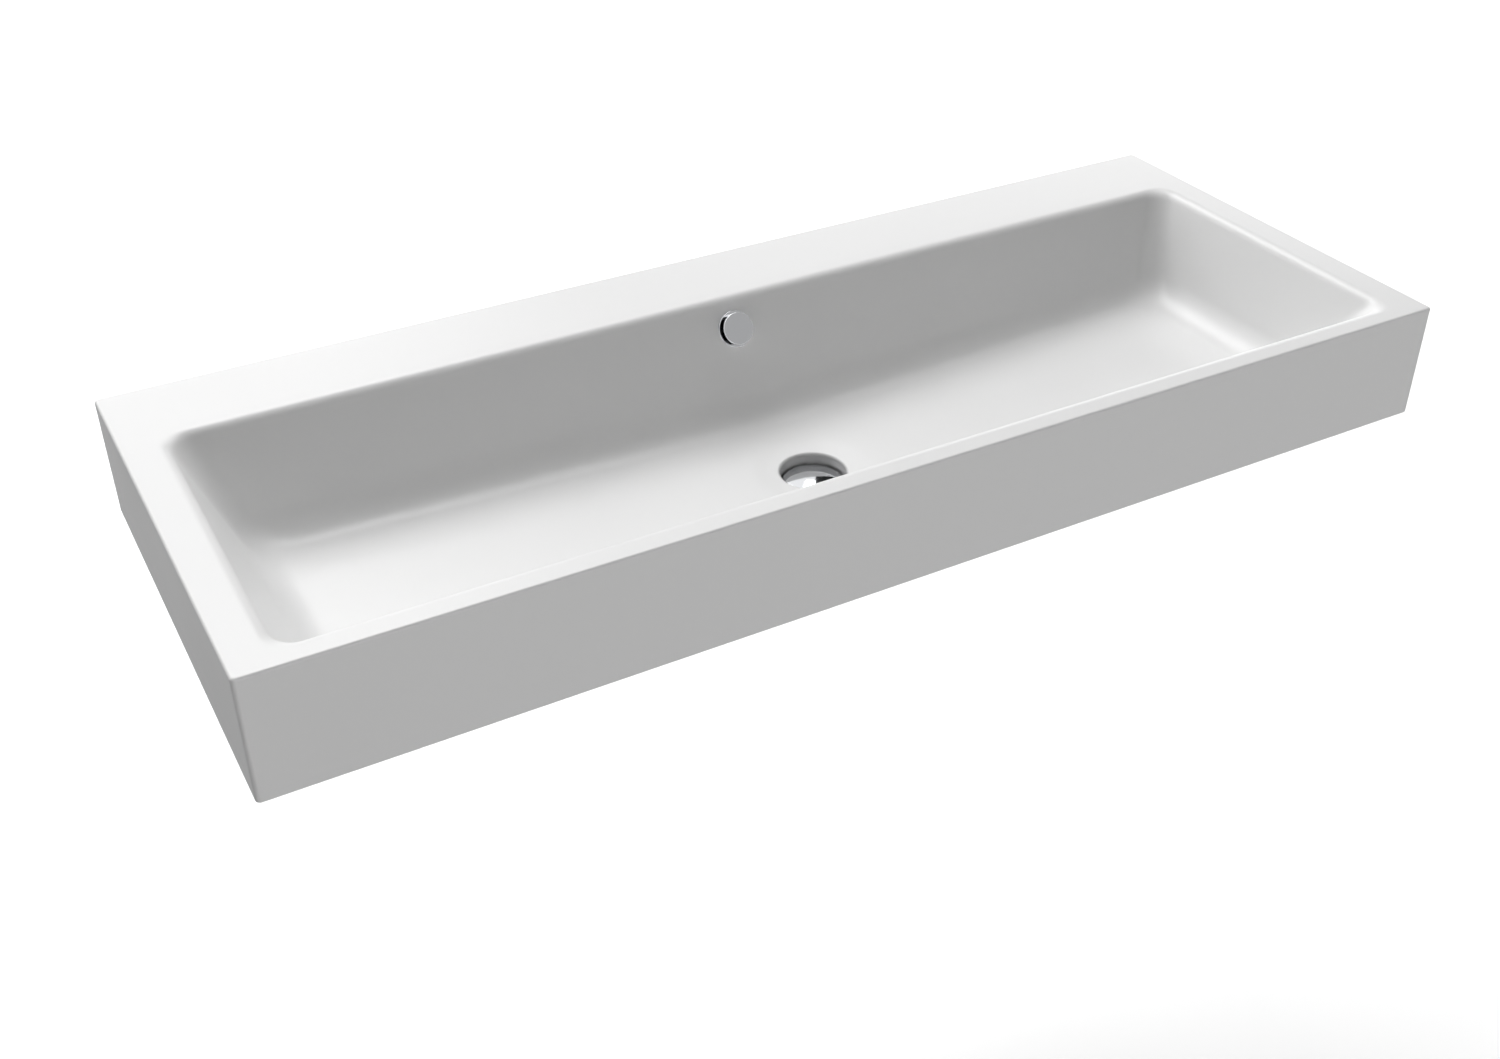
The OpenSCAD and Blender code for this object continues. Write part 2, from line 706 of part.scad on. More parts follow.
module waste_back_nut() {
    color(grey_plastic) on_seat() translate([0, 0, back_nut_top - back_nut_h]) difference() {
        union() {
            cylinder(r = tube_hole_r + back_nut_wall, h = back_nut_h);
            for (k = [0:back_nut_lugs - 1])
                rotate([0, 0, k * full_turn / back_nut_lugs])
                    translate([tube_hole_r + back_nut_wall / 2, -back_nut_lug_w / 2, 0])
                        cube([back_nut_lug_l, back_nut_lug_w, back_nut_h]);
        }
        translate([0, 0, -overrun]) cylinder(r = tube_hole_r, h = back_nut_h + 2 * overrun);
    }
}

// Push-open plug and the cartridge that holds it in the waste tube
cartridge_ring_h = 3;
cartridge_arm_w = 3;
cartridge_arms = 3;
hub_r = 8;
hub_bore_r = 6.2;
hub_top = 0;
hub_floor_z = -24;
hub_floor_t = 2;
stem_r = 2.5;
stem_run = 0.08;
stem_collar_h = 2;
stem_collar_z = -10;
stem_head_r = 4.5;
stem_head_h = 3.5;
stem_head_top = hub_floor_z - hub_floor_t - plug_travel - seat_gap;
stem_high = flange_top + flange_t / 2;
plug_lift = 0.7;
plug_edge_t = 2.2;
plug_boss_r = 5.4;
plug_boss_h = 3.2;
plug_seal_w = 5.4;
plug_seal_play = 0.6;
plug_base = flange_top + plug_lift;

module plug_cartridge() {
    color(light_plastic) on_seat() difference() {
        union() {
            translate([0, 0, ledge_z])
                tube(tube_bore_r - slip_gap, tube_bore_r - ledge_w - slip_gap, cartridge_ring_h);
            for (k = [0:cartridge_arms - 1])
                rotate([0, 0, quarter + k * full_turn / cartridge_arms])
                    translate([hub_bore_r, -cartridge_arm_w / 2, ledge_z])
                        cube([tube_bore_r - ledge_w - hub_bore_r, cartridge_arm_w, cartridge_ring_h]);
            translate([0, 0, hub_floor_z - hub_floor_t])
                cylinder(r = hub_r, h = hub_top - hub_floor_z + hub_floor_t);
        }
        translate([0, 0, hub_floor_z]) cylinder(r = hub_bore_r, h = hub_top - hub_floor_z + overrun);
        translate([0, 0, hub_floor_z - hub_floor_t - overrun])
            cylinder(r = stem_r + stem_run, h = hub_floor_t + 2 * overrun);
    }
}

// Top of the plug cover as an arc from its edge to its middle
dome_r = (pow(plug_r, 2) + pow(plug_dome, 2)) / (2 * plug_dome);
dome_turn = asin(plug_r / dome_r);
dome_steps = 12;
plug_edge_top = plug_base + plug_edge_t;
plug_foot = plug_base - plug_boss_h;
stem_seat = stem_high + slip_gap;
bore_r = stem_r + stem_run;
dome = [for (k = [dome_steps:-1:0])
    let (a = dome_turn * k / dome_steps)
    [dome_r * sin(a), plug_edge_top + plug_dome - dome_r * (1 - cos(a))]];

module plug_cover() {
    color(chrome) on_seat() rotate_extrude() polygon(concat(
        [[0, stem_seat], [bore_r, stem_seat], [bore_r, plug_foot], [plug_boss_r, plug_foot],
         [plug_boss_r, plug_base], [plug_r, plug_base]], dome));
}

module plug_seal() {
    color(rubber) on_seat() translate([0, 0, step_z + seat_gap])
        tube(step_r - plug_seal_play, step_r - plug_seal_play - plug_seal_w,
             plug_base - step_z - seat_gap);
}

module plug_stem() {
    color(zinc) on_seat() {
        translate([0, 0, stem_head_top]) cylinder(r = stem_r, h = stem_high - stem_head_top);
        translate([0, 0, stem_head_top - stem_head_h]) cylinder(r = stem_head_r, h = stem_head_h);
        translate([0, 0, stem_collar_z]) cylinder(r = hub_bore_r - run_gap, h = stem_collar_h);
    }
}

// Helical spring between the cartridge floor and the collar of the stem
spring_wire_r = 0.5;
spring_r = 4.6;
spring_turns = 5;
spring_steps = 12;
spring_sides = 6;
spring_n = spring_turns * spring_steps;
spring_low = hub_floor_z + spring_wire_r + slip_gap / 2;
spring_high = stem_collar_z - spring_wire_r - slip_gap / 2;
spring_rise = spring_high - spring_low;
function spring_point(k) =
    let (a = full_turn * k / spring_steps)
    [spring_r * cos(a), spring_r * sin(a), spring_low + spring_rise * k / spring_n];
spring_rings = [for (k = [0:spring_n])
    let (a = full_turn * k / spring_steps, c = spring_point(k))
    [for (m = [0:spring_sides - 1])
        let (t = full_turn * m / spring_sides)
        c + spring_wire_r * [cos(t) * cos(a), cos(t) * sin(a), sin(t)]]];
spring_gap = min([for (k = [0:spring_n - spring_steps])
    norm(spring_point(k + spring_steps) - spring_point(k))]) - 2 * spring_wire_r;
echo(spring_least_gap = spring_gap);

// Closed skin over rings along a path, with flat ends
module swept(rings) {
    n = len(rings[0]);
    m = len(rings);
    points = [for (r = rings) for (p = r) p];
    sides = [for (i = [0:m - 2]) for (j = [0:n - 1])
        let (a = i * n + j, b = i * n + (j + 1) % n, c = b + n, d = a + n)
        each [[a, b, c], [a, c, d]]];
    ends = [for (j = [1:n - 2]) each [[0, j + 1, j], [(m - 1) * n, (m - 1) * n + j, (m - 1) * n + j + 1]]];
    polyhedron(points = points, faces = concat(sides, ends), convexity = 10);
}

module plug_spring() {
    color(zinc) on_seat() swept(spring_rings);
}

basin_shell();
wall_plate_left();
wall_plate_right();
fixing_bushes();
fixing_washers();
fixing_nuts();
damping_pad_left();
damping_pad_right();
overflow_cap();
overflow_ring();
overflow_screw();
overflow_gasket();
overflow_elbow();
hose_nut_upper();
overflow_hose();
hose_nut_lower();
hose_seals();
overflow_collar();
collar_seals();
waste_flange();
waste_flange_seal();
waste_back_nut();
plug_cartridge();
plug_cover();
plug_seal();
plug_stem();
plug_spring();
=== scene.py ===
import math

import bpy
import numpy as np
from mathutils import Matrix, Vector


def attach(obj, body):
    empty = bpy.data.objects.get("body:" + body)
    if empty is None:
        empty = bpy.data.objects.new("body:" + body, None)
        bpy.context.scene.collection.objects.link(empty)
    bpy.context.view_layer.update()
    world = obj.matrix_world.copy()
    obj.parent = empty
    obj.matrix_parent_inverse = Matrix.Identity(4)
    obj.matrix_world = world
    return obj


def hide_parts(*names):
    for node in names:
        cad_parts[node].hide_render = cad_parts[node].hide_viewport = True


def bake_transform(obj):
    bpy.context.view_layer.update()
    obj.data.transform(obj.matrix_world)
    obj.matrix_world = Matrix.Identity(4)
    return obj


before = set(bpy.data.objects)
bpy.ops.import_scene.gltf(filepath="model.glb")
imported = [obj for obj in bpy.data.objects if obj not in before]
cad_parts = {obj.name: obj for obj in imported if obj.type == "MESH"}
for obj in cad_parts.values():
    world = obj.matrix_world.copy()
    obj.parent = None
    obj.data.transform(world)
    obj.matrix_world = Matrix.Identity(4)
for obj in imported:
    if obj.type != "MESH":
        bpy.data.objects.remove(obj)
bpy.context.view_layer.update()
print("frame loaded:", len(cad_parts), "CAD nodes")

mm = 0.001
tau = 2 * math.pi


# Helpers: meshes from grids of points

def makeObject(name, points, faces, material, body, nodes=(), sharpAngle=38.0):
    mesh = bpy.data.meshes.new(name)
    mesh.from_pydata((np.asarray(points, float) * mm).tolist(), [], [tuple(int(i) for i in f) for f in faces])
    mesh.validate()
    obj = bpy.data.objects.new(name, mesh)
    bpy.context.scene.collection.objects.link(obj)
    mesh.materials.append(material)
    mesh.polygons.foreach_set("use_smooth", [True] * len(mesh.polygons))
    markSharp(mesh, math.radians(sharpAngle))
    if nodes:
        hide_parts(*nodes)
    if body:
        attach(obj, body)
    print(name, len(mesh.vertices), "points", len(mesh.polygons), "faces")
    return obj


def markSharp(mesh, limit):
    # an edge is sharp where its two faces turn by more than the limit
    normals = np.array([p.normal for p in mesh.polygons])
    first = {}
    sharp = np.zeros(len(mesh.edges), bool)
    for p in mesh.polygons:
        for e in p.loop_indices:
            edge = mesh.loops[e].edge_index
            if edge in first:
                turn = float(np.clip(normals[first[edge]] @ normals[p.index], -1, 1))
                sharp[edge] = turn < math.cos(limit)
            else:
                first[edge] = p.index
    layer = mesh.attributes.new("sharp_edge", "BOOLEAN", "EDGE")
    layer.data.foreach_set("value", sharp)


def torusFaces(rows, cols):
    # rings run round a closed section, so both directions wrap
    i, j = np.meshgrid(np.arange(rows), np.arange(cols), indexing="ij")
    a = i * cols + j
    b = i * cols + (j + 1) % cols
    return np.stack([a, b, (b + cols) % (rows * cols), (a + cols) % (rows * cols)], -1)


def pointAt(i, j, count):
    # number of a point in row i of a grid whose rows are closed rings of count points
    return i * count + j % count


def pierced(cells, holeRows, cols, mirrorRow):
    # takes cells out of the face and of the back of a sheet, and walls the hole between them
    gone = {(i, j) for i, js in holeRows.items() for j in js}
    rows = cells.shape[0]
    faces = [tuple(cells[i, j]) for i in range(rows) for j in range(cols)
             if (i, j) not in gone and (mirrorRow.get(i), j) not in gone]

    def twin(i, j):
        return pointAt(mirrorRow["point"][i], j, cols)

    for i, j in gone:
        ring = [(i, j), (i, j + 1), (i + 1, j + 1), (i + 1, j)]
        beside = [(i - 1, j), (i, j + 1), (i + 1, j), (i, j - 1)]
        for k in range(4):
            if (beside[k][0], beside[k][1] % cols) in gone:
                continue
            (ia, ja), (ib, jb) = ring[k], ring[(k + 1) % 4]
            faces.append((pointAt(ia, ja, cols), pointAt(ib, jb, cols), twin(ib, jb), twin(ia, ja)))
    return faces


def lathe(profile, count):
    # closed profile of (radius, height) turned about Z
    profile = np.asarray(profile, float)
    turn = tau * np.arange(count) / count
    r, z = profile[:, 0][:, None], profile[:, 1][:, None]
    grid = np.stack([r * np.cos(turn), r * np.sin(turn), z + 0 * turn], -1)
    return grid.reshape(-1, 3), torusFaces(len(profile), count)


def arc(cx, cz, r, fromDeg, toDeg, steps):
    turn = np.radians(np.linspace(fromDeg, toDeg, steps + 1))
    return [(cx + r * math.cos(t), cz + r * math.sin(t)) for t in turn]


# Materials

def newNoise(tree, scale, detail):
    # noise over the object's own coordinates
    where = tree.nodes.new("ShaderNodeTexCoord")
    noise = tree.nodes.new("ShaderNodeTexNoise")
    noise.inputs["Scale"].default_value = scale
    noise.inputs["Detail"].default_value = detail
    tree.links.new(where.outputs["Object"], noise.inputs["Vector"])
    return noise


def newMaterial(name, finish):
    # the roughness wanders with the noise between the two values of rough
    mat = bpy.data.materials.new(name)
    mat.use_nodes = True
    tree = mat.node_tree
    shader = tree.nodes["Principled BSDF"]
    shader.inputs["Base Color"].default_value = (*finish["color"], 1)
    shader.inputs["Metallic"].default_value = finish["metal"]
    shader.inputs["Roughness"].default_value = sum(finish["rough"]) / 2
    noise = newNoise(tree, *finish["noise"])
    spread = tree.nodes.new("ShaderNodeMapRange")
    for socket, value in zip(("From Min", "From Max", "To Min", "To Max"), (0.2, 0.8, *finish["rough"])):
        spread.inputs[socket].default_value = value
    tree.links.new(noise.outputs["Fac"], spread.inputs["Value"])
    tree.links.new(spread.outputs["Result"], shader.inputs["Roughness"])
    if "bump" in finish:
        addBump(tree, shader, **finish["bump"])
    return mat


def addBump(tree, shader, scale, detail, strength, distance):
    noise = newNoise(tree, scale, detail)
    bump = tree.nodes.new("ShaderNodeBump")
    bump.inputs["Strength"].default_value = strength
    bump.inputs["Distance"].default_value = distance
    tree.links.new(noise.outputs["Fac"], bump.inputs["Height"])
    tree.links.new(bump.outputs["Normal"], shader.inputs["Normal"])


def addPaintedShade(mat, plain, shaded):
    # painted shade: a mesh attribute mixes the base colour from the plain colour to a darker shaded one, standing in
    # for shade
    tree = mat.node_tree
    paintedShade = tree.nodes.new("ShaderNodeAttribute")
    mix = tree.nodes.new("ShaderNodeMix")
    paintedShade.attribute_name = "paintedShade"
    mix.data_type = "RGBA"
    tree.links.new(paintedShade.outputs["Fac"], mix.inputs["Factor"])
    mix.inputs["A"].default_value = (*plain, 1)
    mix.inputs["B"].default_value = (*shaded, 1)
    tree.links.new(mix.outputs["Result"], tree.nodes["Principled BSDF"].inputs["Base Color"])


# noise is the scale and the detail of the pattern
finishes = dict(
    enamel=dict(color=(0.86, 0.86, 0.858), metal=0.0, rough=(0.33, 0.38), noise=(9.0, 0.0),
                bump=dict(scale=110.0, detail=0.0, strength=0.1, distance=0.00006)),
    chrome=dict(color=(0.80, 0.81, 0.83), metal=1.0, rough=(0.04, 0.07), noise=(60.0, 3.0)),
    zinc=dict(color=(0.62, 0.63, 0.65), metal=1.0, rough=(0.28, 0.42), noise=(220.0, 4.0)),
    rubber=dict(color=(0.02, 0.02, 0.022), metal=0.0, rough=(0.55, 0.75), noise=(300.0, 2.0)),
    lightPlastic=dict(color=(0.74, 0.74, 0.72), metal=0.0, rough=(0.38, 0.48), noise=(120.0, 2.0)),
    greyPlastic=dict(color=(0.10, 0.105, 0.115), metal=0.0, rough=(0.4, 0.52), noise=(120.0, 2.0)),
    bitumen=dict(color=(0.022, 0.022, 0.023), metal=0.0, rough=(0.75, 0.95), noise=(90.0, 4.0),
                 bump=dict(scale=380.0, detail=3.0, strength=0.5, distance=0.0006)),
)
# painted shade: a dark grey for the neck round the plug, standing in for the shade down the hole, not a colour of the
# enamel
neckPaintedShade = (0.36, 0.36, 0.36)

enamel, chrome, zinc, rubber, lightPlastic, greyPlastic, bitumen = (
    newMaterial(name, finish) for name, finish in finishes.items())
addPaintedShade(enamel, finishes["enamel"]["color"], neckPaintedShade)

nodeMaterials = dict(
    wall_plate_left=enamel, wall_plate_right=enamel, fixing_bushes=lightPlastic,
    fixing_washers=zinc, fixing_nuts=zinc, damping_pad_left=bitumen, damping_pad_right=bitumen,
    overflow_screw=zinc, overflow_gasket=rubber, overflow_elbow=greyPlastic,
    hose_nut_upper=lightPlastic, hose_nut_lower=lightPlastic, hose_seals=rubber,
    overflow_collar=greyPlastic, collar_seals=rubber, waste_flange_seal=rubber,
    waste_back_nut=greyPlastic, plug_cartridge=lightPlastic, plug_seal=rubber, plug_stem=zinc,
)
for nodeName, mat in nodeMaterials.items():
    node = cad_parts[nodeName]
    node.data.materials.clear()
    node.data.materials.append(mat)
print("materials made:", len(bpy.data.materials))


# The pressed sheet

sheet = dict(
    width=1200.0, depth=460.0, skirt=120.0, thick=2.5, edge=2.2, upright=4.0, lip=14.0, rimHeight=65.0,
    deckRear=91.0, deckFront=16.7, deckSide=30.5, roll=12.0, rimCorner=22.0, footCorner=30.0,
    rearFoot=67.0, frontFoot=67.0, endFoot=52.0, sideFillet=45.0, endFillet=38.0, bowl=111.0, rise=14.0,
    valley=18.0, skirtRows=(-104, -92, -40, -26, -14), seatRound=0.8, backRound=2.0, neckRound=0.9,
    drainY=270.0, drainR=32.0, drainEdge=3.0, dish=26.0, dishDrop=0.6, recess=19.0, drainBore=22.5,
    overflowDepth=29.0, overflowHole=14.5, boltSpacing=560.0, boltHole=8.7,
)
footHalf = sheet["width"] / 2 - sheet["deckSide"] - sheet["endFoot"]
bowlHalf = sheet["width"] / 2 - sheet["deckSide"]
fall = sheet["rise"] / (math.hypot(footHalf, sheet["valley"]) - sheet["valley"])


def floorDepth(x):
    return sheet["bowl"] - fall * (np.hypot(x, sheet["valley"]) - sheet["valley"])


def wallSlope(foot, depth):
    # angle from the vertical of a wall that touches the roll and reaches its foot at a depth
    reach = math.hypot(foot, depth - sheet["roll"])
    return math.acos(sheet["roll"] / reach) - math.atan2(depth - sheet["roll"], foot)


def wallIn(slope, depth):
    # inset of a plane wall at a depth
    return sheet["roll"] * np.cos(slope) + (depth - sheet["roll"] * (1 - np.sin(slope))) * np.tan(slope)


def section(slope, fillet, depth, t):
    # inset and height of a wall: roll for t in 0..1, straight for 1..2, fillet for 2..3
    turn, foot = math.pi / 2 - slope, wallIn(slope, depth)
    roll = sheet["roll"]

    def onRoll(u):
        return roll * np.sin(turn * u), -roll * (1 - np.cos(turn * u))

    def onFillet(u):
        return foot + fillet * (np.tan(turn / 2) - np.sin(turn * u)), fillet * (1 - np.cos(turn * u)) - depth

    topIn, topZ = onRoll(1.0)
    lowIn, lowZ = onFillet(1.0)
    u = np.clip(t - 1, 0, 1)
    inset, z = topIn + (lowIn - topIn) * u, topZ + (lowZ - topZ) * u
    rollIn, rollZ = onRoll(np.clip(t, 0, 1))
    filletIn, filletZ = onFillet(np.clip(3 - t, 0, 1))
    inset = np.where(t < 1, rollIn, np.where(t > 2, filletIn, inset))
    z = np.where(t < 1, rollZ, np.where(t > 2, filletZ, z))
    return inset, z


def squareToRound(a, b, outer):
    # bends a square mesh of half side 1 into a circle of radius 1, fading out at the outer square
    c = np.maximum(abs(a), abs(b))
    e = np.hypot(a, b)
    e = np.where(e < 1e-9, 1, e)
    k = np.where(c < 1e-9, 1, c / e)
    k = k + (1 - k) * np.clip((c - 1) / (outer - 1), 0, 1)
    return a * k, b * k, c


endDepth = floorDepth(footHalf)
rearSlope, frontSlope = wallSlope(sheet["rearFoot"], sheet["bowl"]), wallSlope(sheet["frontFoot"], sheet["bowl"])
endSlope = wallSlope(sheet["endFoot"], endDepth)
endReach = section(endSlope, sheet["endFillet"], endDepth, np.array(3.0))[0]
rollEndZ = -sheet["roll"] * (1 - math.sin(rearSlope))
filletZ = sheet["sideFillet"] * (1 - math.sin(rearSlope)) - sheet["bowl"]
straight = (rollEndZ - filletZ) / math.cos(rearSlope)
holeW = (rollEndZ + sheet["overflowDepth"]) / math.cos(rearSlope)
overflowY = -sheet["deckRear"] - wallIn(rearSlope, sheet["overflowDepth"])


def halfLessCorner(t):
    endIn = section(endSlope, sheet["endFillet"], endDepth, t)[0]
    r = sheet["rimCorner"] + (sheet["footCorner"] - sheet["rimCorner"]) * endIn / endReach
    return bowlHalf - endIn - r, r


holeT = 1 + holeW / straight
holeHalf = float(halfLessCorner(np.array(holeT))[0])
# distances from the middle of a hole in hole radii; the last is where the mesh runs square again
fineSteps = np.array([0.25, 0.5, 0.75, 1.0, 1.35, 1.7])
outerHole = fineSteps[-1]
holeShares = sheet["overflowHole"] / holeHalf * fineSteps
skirtHalf = sheet["width"] / 2 - sheet["upright"]
boltShare = sheet["boltSpacing"] / 2 / skirtHalf
boltSteps = np.array([-1.8, -1.4, -1.0, -0.5, 0.0, 0.5, 1.0, 1.4, 1.8])
outerBolt = boltSteps[-1]
boltShares = boltShare + sheet["boltHole"] / skirtHalf * boltSteps
# places of the mesh lines along the long sides and the ends, as shares of the half length
freeShares = np.array([0.062, 0.074, 0.089, 0.107, 0.128, 0.153, 0.182, 0.215, 0.253, 0.295, 0.34, 0.385, 0.425,
                       0.53, 0.575, 0.62, 0.67, 0.72, 0.77, 0.82, 0.865, 0.905, 0.94, 0.965, 0.982, 0.993])
halfShares = np.sort(np.concatenate([holeShares, boltShares, freeShares]))
longShares = np.concatenate([-halfShares[::-1], [0.0], halfShares])
sideShares = np.array([-0.985, -0.95, -0.88, -0.76, -0.6, -0.4, -0.2, 0.0, 0.2, 0.4, 0.6, 0.76, 0.88, 0.95, 0.985])
cornerSteps = 12


def stationList():
    out = []

    def corner(sx, sy, start):
        out.extend((sx, sy, start + 90 * k / cornerSteps) for k in range(cornerSteps + 1))

    out.extend((1, s, 0) for s in sideShares)
    corner(1, 1, 0)
    out.extend((-s, 1, 90) for s in longShares)
    corner(-1, 1, 90)
    out.extend((-1, -s, 180) for s in sideShares)
    corner(-1, -1, 180)
    out.extend((s, -1, 270) for s in longShares)
    corner(1, -1, 270)
    return np.array(out, float)


stations = stationList()
sx, sy, heading = stations[:, 0], stations[:, 1], np.radians(stations[:, 2])
stationCount = len(stations)
firstMid = len(sideShares) // 2
onRear = stations[:, 2] == 90


def skirtRing(inset, z, r=None):
    r = max(sheet["upright"] - inset, 0.5) if r is None else r
    rear, front = -inset, inset - sheet["depth"]
    return np.stack([sx * (sheet["width"] / 2 - inset - r) + r * np.cos(heading),
                     (rear + front) / 2 + sy * ((rear - front) / 2 - r) + r * np.sin(heading),
                     np.full(stationCount, float(z))], -1)


def drainRing(r, z):
    turn = tau * (np.arange(stationCount) - firstMid) / stationCount
    return np.stack([r * np.cos(turn), r * np.sin(turn) - sheet["drainY"], np.full(stationCount, float(z))], -1)


def bowlRings(tRow):
    # every wall, ring by ring; the mesh round the overflow is bent into a circle on the rear wall
    t = np.repeat(np.asarray(tRow, float)[:, None], stationCount, 1)
    share = np.repeat(sx[None], len(tRow), 0)
    a = share * holeHalf / sheet["overflowHole"]
    b = ((t - 1) * straight - holeW) / sheet["overflowHole"]
    near = onRear[None] & (abs(a) <= outerHole) & (abs(b) <= outerHole)
    bentA, bentB, square = squareToRound(a, b, outerHole)
    share = np.where(near, bentA * sheet["overflowHole"] / holeHalf, share)
    t = np.where(near, 1 + (bentB * sheet["overflowHole"] + holeW) / straight, t)
    half, r = halfLessCorner(t)
    floorHalf = bowlHalf - endReach
    floorX = share * (floorHalf - sheet["footCorner"]) + sheet["footCorner"] * np.cos(heading)
    depth = floorDepth(floorX)
    rear = -sheet["deckRear"] - section(rearSlope, sheet["sideFillet"], depth, t)[0]
    front = sheet["deckFront"] - sheet["depth"] + section(frontSlope, sheet["sideFillet"], depth, t)[0]
    endZ = section(endSlope, sheet["endFillet"], depth, t)[1]
    sideZ = section(np.where(sy > 0, rearSlope, frontSlope), sheet["sideFillet"], depth, t)[1]
    mix = np.sin(heading) ** 2
    grid = np.stack([share * half + r * np.cos(heading),
                     (rear + front) / 2 + sy * ((rear - front) / 2 - r) + r * np.sin(heading),
                     endZ + (sideZ - endZ) * mix], -1)
    return grid, near & (square < 1 - 1e-6)


def sheetBack(rings, thick):
    # each point moved through the sheet along the surface normal
    across = np.empty_like(rings)
    across[1:-1] = rings[2:] - rings[:-2]
    across[0], across[-1] = rings[1] - rings[0], rings[-1] - rings[-2]
    along = np.roll(rings, -1, 1) - np.roll(rings, 1, 1)
    n = np.cross(along, across)
    n /= np.linalg.norm(n, axis=-1, keepdims=True)
    return rings - thick * n


def makeSheet():
    # closed rings that run up the skirt from the lip, over the deck, down the walls, across the
    # floor and down the neck, and then back inside, one thickness away
    thick, edge, h, lip = sheet["thick"], sheet["edge"], sheet["skirt"], sheet["lip"]
    boltZ = -sheet["rimHeight"] + sheet["boltHole"] * boltSteps
    skirtZ = np.sort(np.concatenate([boltZ, [-h + edge + 0.8], sheet["skirtRows"], [-edge - 0.8]]))
    edgeTurns = np.radians(np.linspace(0, 90, 7))
    face = [skirtRing(lip, -h), skirtRing(edge + 1.2, -h)]
    face += [skirtRing(edge * (1 - math.sin(a)), edge * (1 - math.cos(a)) - h, sheet["upright"])
             for a in edgeTurns]
    lowSkirt = len(face)
    face += [skirtRing(0, z) for z in skirtZ]
    face += [skirtRing(edge * (1 - math.sin(a)), -edge * (1 - math.cos(a)), sheet["upright"])
             for a in edgeTurns[::-1]]
    # round mesh at the bolt holes of the rear skirt
    for k, z in enumerate(skirtZ):
        ring = face[lowSkirt + k]
        for side in (-1, 1):
            a = (ring[:, 0] - side * sheet["boltSpacing"] / 2) / sheet["boltHole"]
            b = np.full_like(a, (z + sheet["rimHeight"]) / sheet["boltHole"])
            near = onRear & (abs(a) <= outerBolt + 1e-6) & (abs(b) <= outerBolt + 1e-6)
            bentA, bentB, _ = squareToRound(a, b, outerBolt)
            ring[:, 0] = np.where(near, side * sheet["boltSpacing"] / 2 + bentA * sheet["boltHole"], ring[:, 0])
            ring[:, 2] = np.where(near, -sheet["rimHeight"] + bentB * sheet["boltHole"], ring[:, 2])
    tRow = np.unique(np.concatenate([
        np.linspace(0, 1, 9), [1.012], np.linspace(2, 3, 13), [1.985], np.linspace(1.66, 1.94, 6),
        1 + (holeW + sheet["overflowHole"] * np.concatenate([-fineSteps, [0], fineSteps])) / straight]).round(9))
    bowl, inHole = bowlRings(tRow)
    deckTop = face[-1]
    deck = [deckTop + (bowl[0] - deckTop) * s for s in (0.02, 0.5)]
    deck[1] = bowl[0] + (bowl[0] - bowl[1]) * 0.6 * np.array([1, 1, 0])
    border, dishOut = bowl[-1], drainRing(sheet["drainR"] + sheet["drainEdge"] + sheet["dish"], 0)
    floor = []
    for s in np.concatenate([[0.02, 0.06], np.linspace(0.12, 1, 14)]):
        ring = border + (dishOut - border) * s
        ring[:, 2] = -floorDepth(ring[:, 0])
        floor.append(ring)
    neckTop = -(sheet["bowl"] + sheet["dishDrop"])
    seatZ = neckTop - sheet["recess"]
    dishIn = drainRing(sheet["drainR"] + sheet["drainEdge"], neckTop)
    for s in np.linspace(0, 1, 8)[1:]:
        ring = floor[15] + (dishIn - floor[15]) * s
        ease = s * s * (3 - 2 * s)
        ring[:, 2] = -floorDepth(ring[:, 0]) * (1 - ease) + neckTop * ease
        floor.append(ring)
    er, dr = sheet["drainEdge"], sheet["drainR"]
    neck = [drainRing(dr + er * (1 - math.sin(a)), neckTop - er * (1 - math.cos(a))) for a in edgeTurns[1:]]
    neck += [drainRing(dr, neckTop - er - 1), drainRing(dr, seatZ + 1.6)]
    sr, br, nr = sheet["seatRound"], sheet["backRound"], sheet["neckRound"]
    neck += [drainRing(dr - sr * (1 - math.cos(a)), seatZ + sr * (1 - math.sin(a))) for a in edgeTurns[::2]]
    neck += [drainRing(sheet["drainBore"], seatZ)]
    neckBack = [drainRing(sheet["drainBore"], seatZ - thick), drainRing(dr - 1.0, seatZ - thick)]
    neckBack += [drainRing(dr + thick - br * (1 - math.sin(a)), seatZ - thick + br * (1 - math.cos(a)))
                 for a in edgeTurns[1::2]]
    neckBack += [drainRing(dr + thick + nr * (1 - math.sin(a)), neckTop - thick - nr * (1 - math.cos(a)))
                 for a in edgeTurns[::-2]]
    front = face + deck + list(bowl) + floor
    bowlFace = np.array(list(bowl) + floor)
    bowlBack = sheetBack(bowlFace, thick)[:-1]
    lipR = max(edge - thick, 0.5)
    back = [bowl[0] - [0, 0, thick], skirtRing(thick + lipR, -thick)]
    back += [skirtRing(thick, -thick - lipR)]
    backSkirt = []
    for k in range(len(skirtZ))[::-1]:
        ring = skirtRing(thick, skirtZ[k])
        ring[:, 0] = np.where(onRear, face[lowSkirt + k][:, 0], ring[:, 0])
        ring[:, 2] = np.where(onRear, face[lowSkirt + k][:, 2], ring[:, 2])
        backSkirt.append(ring)
    back += backSkirt
    back += [skirtRing(thick, thick + lipR - h), skirtRing(thick + lipR, thick - h), skirtRing(lip, thick - h)]
    rings = front + neck + neckBack + list(bowlBack[::-1][:-1]) + back
    rows = len(rings)
    points = np.array(rings)
    points[..., 2] += sheet["rimHeight"]
